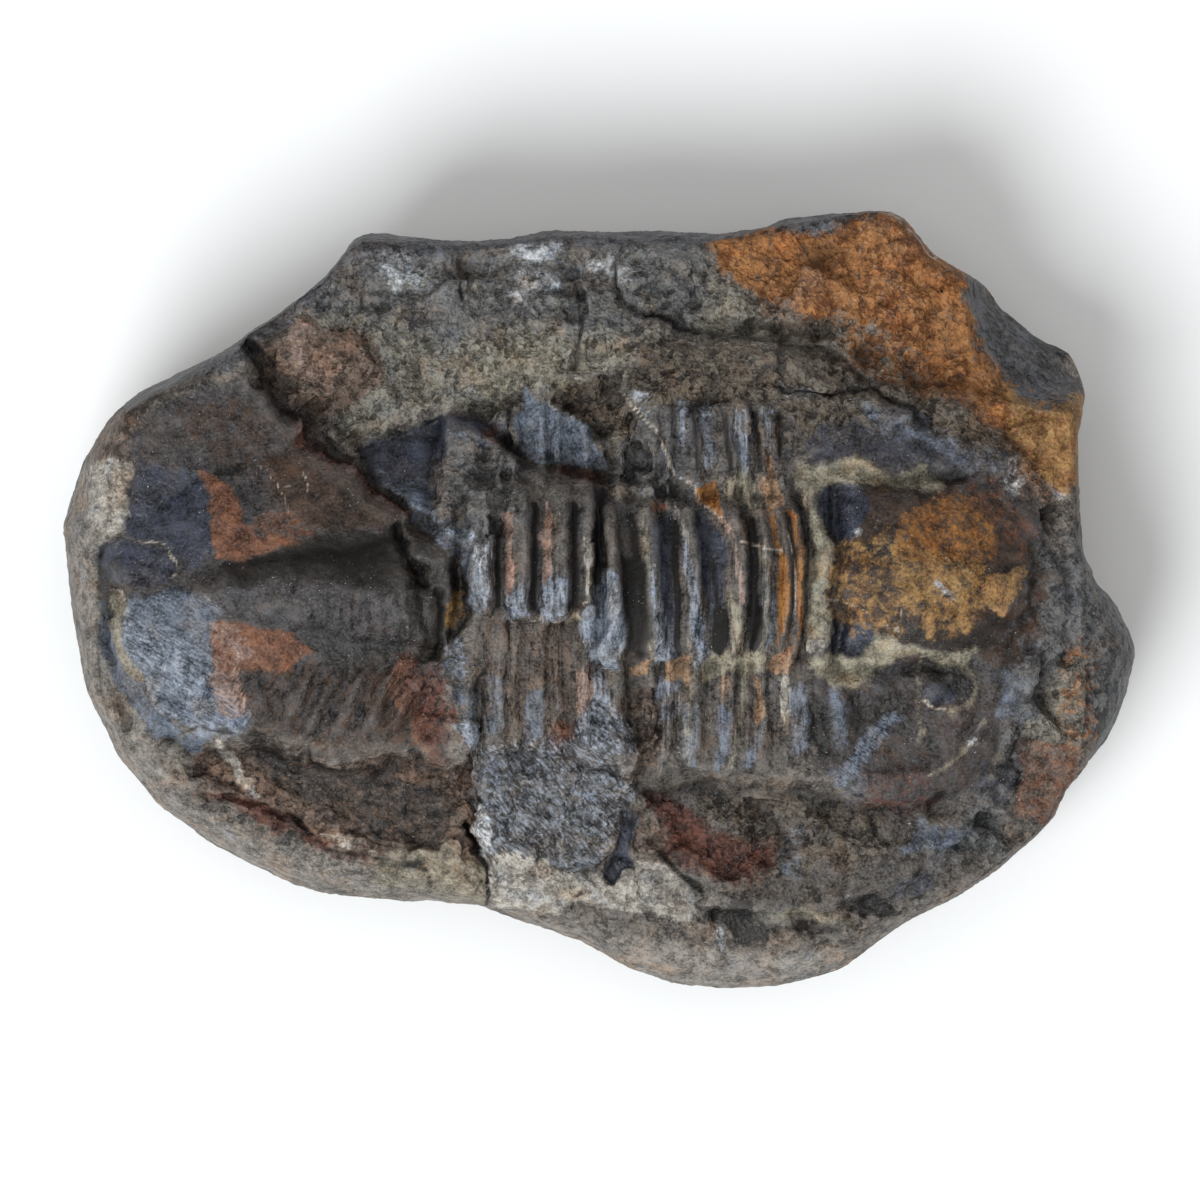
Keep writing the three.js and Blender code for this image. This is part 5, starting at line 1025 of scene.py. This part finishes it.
def buildStone():
    bm = bmesh.new()
    bmesh.ops.create_grid(bm, x_segments=stone["faceColumns"], y_segments=stone["faceRows"], size=1)
    bm.verts.ensure_lookup_table()
    grid = readPoints(bm)
    x, y, angle, radius = roundFace(grid)
    edgeGap = rimRadius(angle) - radius
    z = faceLevel(*warped(x, y)) - stone["rimFall"] * smooth(1 - edgeGap / stone["rimRound"]) ** 2
    # cavities: each point's height against the mean height around it
    order = np.lexsort((grid[:, 0], grid[:, 1]))
    sheet = z[order].reshape(stone["faceRows"] + 1, stone["faceColumns"] + 1)
    mean = sheet.copy()
    for axis in (0, 1):
        padded = np.concatenate([mean.take([0] * 6, axis), mean, mean.take([-1] * 6, axis)], axis)
        count = mean.shape[axis]
        mean = sum(padded.take(range(i, i + count), axis) for i in range(13)) / 13
    hollow = np.zeros(len(z))
    hollow[order] = (sheet - mean).ravel()
    writePoints(bm, np.stack([x, y, z], 1))
    print("face laid out:", len(bm.verts), "points")

    # the sides: the boundary is extruded row by row down to the underside
    faceCount = len(bm.verts)
    loop = [e for e in bm.edges if e.is_boundary]
    rows = []
    levels = [("upper", a) for a in np.linspace(0, math.pi / 2, stone["upperRows"] + 1)[1:]]
    levels += [("lower", b) for b in np.linspace(0, math.pi / 2, stone["lowerRows"] + 1)[1:]]
    levels += [("under", s) for s in (0.75, 0.5, 0.25)]
    for part, amount in levels:
        made = bmesh.ops.extrude_edge_only(bm, edges=loop)["geom"]
        loop = [g for g in made if isinstance(g, bmesh.types.BMEdge) and g.is_boundary]
        verts = [g for g in made if isinstance(g, bmesh.types.BMVert)]
        place = np.array([v.co[:] for v in verts])
        rows.append((part, amount, verts))
        angles = np.arctan2(place[:, 1], place[:, 0])
        inner, outer = rimRadius(angles), np.interp(angles, *noduleTable)
        degrees = np.degrees(angles)
        chip = smooth((degrees - stone["chippedFrom"]) / 3) * smooth((stone["chippedTo"] - degrees) / 3)
        if part == "upper":
            rim = faceLevel(*warped(inner * np.cos(angles), inner * np.sin(angles))) - stone["rimFall"]
            t = 2 * amount / math.pi
            out = (1 - chip) * math.sin(amount) + chip * t
            down = (1 - chip) * (1 - math.cos(amount)) + chip * t
            reach = inner + (outer - inner) * out
            height = rim + (stone["widest"] - rim) * down
        elif part == "lower":
            turn = stone["baseTurn"] * math.sin(amount)
            reach = outer - stone["baseInset"] * (1 - math.sqrt(1 - turn * turn))
            height = np.full(len(verts), stone["widest"] * (1 - math.sin(amount)))
        else:
            turn = stone["baseTurn"]
            reach = amount * (outer - stone["baseInset"] * (1 - math.sqrt(1 - turn * turn)))
            height = np.zeros(len(verts))
        for vert, r, a, h in zip(verts, reach, angles, height):
            vert.co = (r * math.cos(a), r * math.sin(a), h)
    bmesh.ops.pointmerge(bm, verts=rows[-1][2], merge_co=(0, 0, 0))
    bmesh.ops.recalc_face_normals(bm, faces=bm.faces)
    bm.verts.index_update()
    bm.normal_update()
    print("sides closed:", len(bm.verts), "points")
    return bm, faceCount, hollow


def flakes(x, y):
    # the rock's broken surface: cells with a height and a tilt of their own
    draw = np.random.default_rng(7)
    total = np.zeros(x.shape)
    for size, step, tilt in stone["chips"]:
        count = int(124 * 92 / size ** 2)
        seeds = draw.uniform((-62, -46), (62, 46), (count, 2))
        heights = draw.uniform(-1, 1, count)
        tilts = draw.normal(0, 1, (count, 2))
        first, second, lift = np.full(x.shape, 1e9), np.full(x.shape, 1e9), np.zeros(x.shape)
        for (sx, sy), height, (tx, ty) in zip(seeds, heights, tilts):
            distance = np.hypot(x - sx, (y - sy) * 1.25)
            nearer = distance < first
            second = np.where(nearer, first, np.minimum(second, distance))
            first = np.where(nearer, distance, first)
            lift = np.where(nearer, step * height + tilt * (tx * (x - sx) + ty * (y - sy)), lift)
        total += lift * smooth((second - first) / (0.12 * size + 0.2))
    return total


# Streaked surfaces: which way the streaks run in degrees, how wide, how drawn out and how high they are
# Where the surface is drawn out in streaks: direction in degrees, stretch and width in millimetres, the
# height of the streaks and how strongly they show in the colour
zones = {
    "ringStreaks": dict(turn=90, stretch=9, width=0.8, height=0.10, strength=1.5, outlines=[
        [(-13.5, 13.3), (0.1, 13.3), (2.3, 11.1), (22.3, 14.4), (23.6, 8.8), (23.6, -5.6), (22.9,
        -18.4), (4.5, -19.6), (0.1, -11.2), (-1.1, -16.2), (-13.1, -17.4), (-13.7, -2.3)],
        [(5.6, 22.2), (21.8, 22.4), (22.3, 14.4), (11.2, 12.2), (6.7, 14.4)]]),
    "breakStreaks": dict(turn=-50, stretch=3, width=0.6, height=0.26, strength=1.8, outlines=[
        [(-18.8, -10.1), (-13.3, -15.6), (0.1, -11.2), (3.8, -13.8), (4.5, -22.3), (3.8, -28.9), (-4.4,
        -31.2), (-12.6, -31.2), (-14.4, -24.5), (-18.8, -20.1)]]),
    "brushStreaks": dict(turn=-28, stretch=6, width=0.5, height=0.07, strength=1.2, outlines=[
        [(-52.8, 0.2), (-47.7, 1.7), (-44.6, 0.9), (-41.6, -0.9), (-42.9, -3.3), (-42.4, -8.9), (-39.1,
        -12.8), (-39.7, -14.4), (-42.7, -13.7), (-45.9, -13.7), (-50.1, -9.9), (-52.3, -3.6)]]),
    "lobeStreaks": dict(turn=60, stretch=7, width=0.7, height=0.08, strength=2.2, outlines=[
        [(-41.1, -7.6), (-29.9, -6.2), (-18.8, -5.6), (-17.7, -11.2), (-17.7, -16.2), (-29.9, -16.9),
        (-39.9, -15.1)]]),
    "plateStreaks": dict(turn=-60, stretch=3, width=0.6, height=0.14, strength=1.6, outlines=[
        [(-9.6, 20.3), (-8.3, 24.4), (-4.9, 21.2), (-0.8, 19.2), (0.9, 14.2), (-6.6, 14.8), (-9.3, 17.7)]]),
    "creaseStreaks": dict(turn=-38, stretch=5, width=0.35, height=0.10, strength=2.2, outlines=[
        [(32.5, -11.6), (33.8, -12.9), (31.6, -15.8), (28.5, -20.1), (26.5, -21.8), (25.4, -20.5),
        (27.6, -16.7), (29.6, -14.1)]]),
}


def streakFields(x, y):
    fields = {}
    for name, zone in zones.items():
        depths = [depthInside(x, y, outline) for outline in zone["outlines"]]
        fields[name] = np.clip(sum(smooth(depth / 1.2 + 0.5) for depth in depths), 0, 1)
    return fields


def roughen(bm, faceCount, hollow):
    points = readPoints(bm)
    normals = np.array([v.normal[:] for v in bm.verts])
    x, y, z = points.T
    fields = toneDistances(*warped(x, y))
    coarse = noiseAt(points, 7, 2, 1.0)
    under = smooth((stone["widest"] + 1 + 5 * coarse - z) / 5)
    onSide = np.zeros(len(points))
    onSide[faceCount:] = 1
    for name in fields:
        fields[name] = fields[name] - 5 * under
    fields["rind"] = np.maximum(fields["rind"], 4 * under - 2)
    # height of the grain, layer by layer as the colours lie
    grit = np.full(len(points), 0.6)
    for name, tone in tones.items():
        mask = smooth(fields[name] / 0.8 + 0.5)
        grit += (tone["grit"] - grit) * mask
    middle = noiseAt(points, 2.2, 3, 5.0)
    fine = noiseAt(points, 0.8, 2, 9.0)
    rough = smooth((grit - 0.3) / 0.3)
    wx, wy = warped(x, y)
    face = 1 - onSide
    streaks = streakFields(wx, wy)
    lift = stone["rockGrit"] * grit * (0.9 * middle * (1 - 0.6 * onSide) + 0.6 * fine + 0.5 * coarse * face)
    lift += rough * flakes(wx, wy) * face * smooth((rimRadius(np.arctan2(y, x)) - np.hypot(x, y)) / 2.5)
    for name, field in streaks.items():
        zone = zones[name]
        turn = math.radians(zone["turn"])
        along, across = x * math.cos(turn) + y * math.sin(turn), y * math.cos(turn) - x * math.sin(turn)
        plan = np.stack([along / zone["stretch"], across, 0.3 * z], -1)
        lift += zone["height"] * smooth(field) * noiseAt(plan, zone["width"], 2, 61.0)
        fields[name] = field
    lift += onSide * (1 - under) * stone["sideGrit"] * (coarse - 0.2)
    lift *= smooth(z / 3)
    points += normals * lift[:, None]
    points[:, 2] = np.maximum(points[:, 2], 0)
    writePoints(bm, points)
    fields["grit"] = grit
    fields["hollow"] = np.concatenate([hollow, np.zeros(len(points) - faceCount)]) + 0.5 * lift
    return fields


bm, faceCount, hollow = buildStone()
fields = roughen(bm, faceCount, hollow)
bmesh.ops.scale(bm, vec=(mm, mm, mm), verts=bm.verts)
mesh = bpy.data.meshes.new("fossilStone")
bm.to_mesh(mesh)
bm.free()
for name, values in fields.items():
    mesh.attributes.new(name, "FLOAT", "POINT").data.foreach_set("value", values.astype(np.float32))
for polygon in mesh.polygons:
    polygon.use_smooth = True
stonePiece = bpy.data.objects.new("fossil_stone", mesh)
bpy.context.scene.collection.objects.link(stonePiece)
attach(stonePiece, "root")
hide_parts("fossil_nodule")
print("stone built:", sum(len(p.vertices) - 2 for p in mesh.polygons), "triangles")


# Materials

def linear(colour):
    # screen colour from 0 to 255 to the renderer's linear colour
    parts = [c / 255 for c in colour]
    return tuple(c / 12.92 if c <= 0.04045 else ((c + 0.055) / 1.055) ** 2.4 for c in parts) + (1.0,)


class Wire:
    # a socket that takes part in Python sums
    def __init__(self, tree, socket):
        self.tree, self.socket = tree, socket

    def math(self, operation, other=0.0, swapped=False, clamp=False):
        inputs = [other, self] if swapped else [self, other]
        return self.tree.add("ShaderNodeMath", dict(operation=operation, use_clamp=clamp), inputs)

    def __add__(self, other):
        return self.math("ADD", other)

    def __sub__(self, other):
        return self.math("SUBTRACT", other)

    def __rsub__(self, other):
        return self.math("SUBTRACT", other, swapped=True)

    def __mul__(self, other):
        return self.math("MULTIPLY", other)

    __radd__ = __add__
    __rmul__ = __mul__

    def step(self, low, high):
        # smooth step from low to high
        settings = dict(interpolation_type="SMOOTHSTEP")
        inputs = {"Value": self, "From Min": low, "From Max": high}
        return self.tree.add("ShaderNodeMapRange", settings, inputs)

    def limit(self):
        return self.math("ADD", 0.0, clamp=True)


class Tree:
    def __init__(self, material):
        material.use_nodes = True
        self.nodes, self.links = material.node_tree.nodes, material.node_tree.links
        self.nodes.clear()

    def add(self, kind, settings=None, inputs=None, output=0):
        node = self.nodes.new(kind)
        for key, value in (settings or {}).items():
            setattr(node, key, value)
        pairs = inputs.items() if isinstance(inputs, dict) else enumerate(inputs or [])
        for key, value in pairs:
            if isinstance(value, Wire):
                self.links.new(value.socket, node.inputs[key])
            else:
                node.inputs[key].default_value = value
        return Wire(self, node.outputs[output]) if node.outputs else node

    def blend(self, amount, under, over, kind="MIX"):
        # colours: A is input 6 and B input 7 of a Mix node set to RGBA, and its colour output is 2
        settings = dict(data_type="RGBA", blend_type=kind)
        return self.add("ShaderNodeMix", settings, {0: amount, 6: under, 7: over}, output=2)

    def between(self, amount, under, over):
        return self.add("ShaderNodeMix", None, {0: amount, 2: under, 3: over})

    def noise(self, place, size, detail=2.0, rough=0.6):
        inputs = {"Vector": place, "Scale": 1 / (size * mm), "Detail": detail, "Roughness": rough}
        return self.add("ShaderNodeTexNoise", None, inputs)


surface = dict(
    speckSize=0.32, chipSizes=(0.6, 1.7), mottleSize=1.5, cloudSize=6.0, edgeSize=1.1,   # millimetres
    speck=2.0, mottle=1.6, cloud=1.0, chips=(1.2, 0.6),     # how strongly each shows
    baseDark=(44, 41, 39), basePale=(122, 114, 106), baseRough=0.62, shine=0.25,
    sparkCover=0.70, hollowShadeAndDirt=0.6, bump=0.9, bumpHeight=0.7,
    warmSize=4.2, warmTint=(1.16, 0.98, 0.84), coolSize=3.1, coolTint=(0.88, 0.97, 1.12),
    sparkSize=0.24, sparkTone=(196, 190, 180), shadeAndDirtTone=(30, 26, 23), highTone=(176, 172, 168),
    shakeSize=0.5, edgeReach=1.83,      # shift of the grains' outlines, and reach of a ragged edge
)


def makeStoneMaterial():
    material = bpy.data.materials.new("trilobiteStone")
    tree = Tree(material)
    place = tree.add("ShaderNodeTexCoord", output=3)
    speck = tree.noise(place, surface["speckSize"], 2.0, 0.75)
    mottle = tree.noise(place, surface["mottleSize"], 3.0)
    cloud = tree.noise(place, surface["cloudSize"], 2.0)
    edge = tree.noise(place, surface["edgeSize"], 3.0, 0.7) - 0.5
    grain = 0.5 + surface["speck"] * (speck - 0.5) + surface["mottle"] * (mottle - 0.5)
    grain = grain + surface["cloud"] * (cloud - 0.5)
    # flat grains, their outlines shaken by noise: each has a shade, read from the grey of its cell's
    # colour, and a height, which is the distance from its middle
    shaking = {"Vector": place, "Scale": 1 / (surface["shakeSize"] * mm), "Detail": 1.0}
    shake = tree.add("ShaderNodeTexNoise", None, shaking, output=1)
    grit = tree.add("ShaderNodeAttribute", dict(attribute_name="grit"), output=2)
    rocky, heights = 0.15 + 0.85 * grit.step(0.25, 0.85), []
    for size, strength in zip(surface["chipSizes"], surface["chips"]):
        width = 0.5 * size * mm
        moved = [shake, (width,) * 3, place]
        shaken = tree.add("ShaderNodeVectorMath", dict(operation="MULTIPLY_ADD"), moved)
        cells = {"Vector": shaken, "Scale": 1 / (size * mm)}
        grain = grain + strength * rocky * (tree.add("ShaderNodeTexVoronoi", None, cells, output=1) - 0.5)
        heights.append(size * tree.add("ShaderNodeTexVoronoi", None, cells))
    for name, zone in zones.items():
        inside = tree.add("ShaderNodeAttribute", dict(attribute_name=name), output=2)
        settings = {"Vector": place, "Rotation": (0, 0, math.radians(zone["turn"])),
                    "Scale": (zone["stretch"], 1, 1)}
        drawn = tree.add("ShaderNodeMapping", dict(vector_type="TEXTURE"), settings)
        streaks = tree.noise(drawn, 0.6 * zone["width"], 2.0) - 0.5
        streaky = inside * (0.9 * zone["strength"])
        grain = tree.add("ShaderNodeMath", dict(operation="MULTIPLY_ADD"), [streaks, streaky, grain])
        edge = tree.between(inside, edge, streaks)
    grain = grain.limit()
    colour = tree.blend(grain, linear(surface["baseDark"]), linear(surface["basePale"]))
    rough = surface["baseRough"]
    for name, tone in tones.items():
        inside = tree.add("ShaderNodeAttribute", dict(attribute_name=name), output=2)
        ragged = [edge, surface["edgeReach"] * tone["ragged"], inside]
        mask = tree.add("ShaderNodeMath", dict(operation="MULTIPLY_ADD"), ragged)
        mask = mask.step(-tone["fade"], tone["fade"])
        own = tree.blend(grain, linear(tone["dark"]), linear(tone["pale"]))
        colour = tree.blend(mask, colour, own)
        rough = tree.between(mask, rough, tone["rough"])
    # warmer and cooler clouds, then glints, then painted shade and dirt darkening the hollows, and worn high
    # spots
    warm = tree.noise(place, surface["warmSize"], 3.0).step(0.5, 0.66)
    colour = tree.blend(warm * 0.8, colour, surface["warmTint"] + (1.0,), "MULTIPLY")
    cool = tree.noise(place, surface["coolSize"], 3.0).step(0.53, 0.68)
    colour = tree.blend(cool * 0.7, colour, surface["coolTint"] + (1.0,), "MULTIPLY")
    cover = surface["sparkCover"]
    sparks = tree.noise(place, surface["sparkSize"], 1.0).step(cover, cover + 0.05)
    sparks = sparks * tree.noise(place, 2.6, 2.0).step(0.5, 0.6)
    colour = tree.blend(sparks * 0.6, colour, linear(surface["sparkTone"]))
    hollow = tree.add("ShaderNodeAttribute", dict(attribute_name="hollow"), output=2)
    # painted shade and dirt: the hollows are darkened in colour
    low = (0.0 - hollow).step(0.0, 0.8) * surface["hollowShadeAndDirt"]
    colour = tree.blend(low, colour, linear(surface["shadeAndDirtTone"]), "MULTIPLY")
    high = hollow.step(0.1, 0.8) * 0.08
    colour = tree.blend(high, colour, linear(surface["highTone"]))
    rough = (rough + 0.25 * (mottle - 0.5) + 0.12 * (speck - 0.5)).limit()
    height = (0.19 * speck + 0.7 * mottle + 0.6 * (heights[0] + heights[1])) * (0.12 + 0.95 * grit)
    bumps = {"Strength": surface["bump"], "Distance": surface["bumpHeight"] * mm, "Height": height}
    looks = {"Base Color": colour, "Roughness": rough, "Normal": tree.add("ShaderNodeBump", None, bumps),
             "Specular IOR Level": surface["shine"]}
    shader = tree.add("ShaderNodeBsdfPrincipled", None, looks)
    tree.add("ShaderNodeOutputMaterial", None, {"Surface": shader})
    return material


mesh.materials.append(makeStoneMaterial())
print("material made")

# Floor, camera and lights
view = dict(frameWidth=133.33, level=21, distance=1850, sensor=36)
studio = dict(floorTone=(250, 250, 250), keyAngle=235, keyRise=50, keyDistance=2.5, keySize=1.5, keyPower=56,
              keyTint=(0.94, 0.98, 1.0), topPlace=(0.1, 0.25, 1.2), topPower=1.6, topSize=0.9,
              ambient=0.46, bounces=3, diffuseBounces=2)


def plainMaterial(name, colour, rough):
    material = bpy.data.materials.new(name)
    tree = Tree(material)
    shader = tree.add("ShaderNodeBsdfPrincipled", None, {"Base Color": linear(colour), "Roughness": rough})
    tree.add("ShaderNodeOutputMaterial", None, {"Surface": shader})
    return material


def buildFloor():
    bm = bmesh.new()
    bmesh.ops.create_grid(bm, x_segments=1, y_segments=1, size=3)
    floorMesh = bpy.data.meshes.new("floor")
    bm.to_mesh(floorMesh)
    bm.free()
    floor = bpy.data.objects.new("floor", floorMesh)
    floorMesh.materials.append(plainMaterial("paleFloor", studio["floorTone"], 0.9))
    bpy.context.scene.collection.objects.link(floor)


def addLight(name, place, size, power, tint):
    light = bpy.data.lights.new(name, "AREA")
    light.shape, light.size, light.energy, light.color = "DISK", size, power, tint
    lamp = bpy.data.objects.new(name, light)
    lamp.location = place
    lamp.rotation_euler = (Vector((0, 0, 0.02)) - Vector(place)).to_track_quat("-Z", "Y").to_euler()
    bpy.context.scene.collection.objects.link(lamp)


def buildStudio():
    camera = bpy.data.cameras.new("camera")
    camera.sensor_width = view["sensor"]
    camera.lens = view["sensor"] * view["distance"] / view["frameWidth"]
    camera.clip_end = 20
    eye = bpy.data.objects.new("camera", camera)
    eye.location = (0, 0, (view["level"] + view["distance"]) * mm)
    bpy.context.scene.collection.objects.link(eye)
    bpy.context.scene.camera = eye
    turn, rise = math.radians(studio["keyAngle"]), math.radians(studio["keyRise"])
    reach = studio["keyDistance"]
    level = reach * math.cos(rise)
    keyPlace = (level * math.cos(turn), level * math.sin(turn), reach * math.sin(rise))
    addLight("key", keyPlace, studio["keySize"], studio["keyPower"], studio["keyTint"])
    addLight("top", studio["topPlace"], studio["topSize"], studio["topPower"], (1, 1, 1))
    world = bpy.data.worlds.new("studio")
    bpy.context.scene.world = world
    world.use_nodes = True
    background = world.node_tree.nodes["Background"]
    background.inputs["Color"].default_value = (1, 1, 1, 1)
    background.inputs["Strength"].default_value = studio["ambient"]
    bpy.context.scene.view_settings.view_transform = "Standard"
    # so dark a stone hardly passes light on, so few bounces do
    bpy.context.scene.cycles.max_bounces = studio["bounces"]
    bpy.context.scene.cycles.diffuse_bounces = studio["diffuseBounces"]


buildFloor()
buildStudio()
print("studio set")
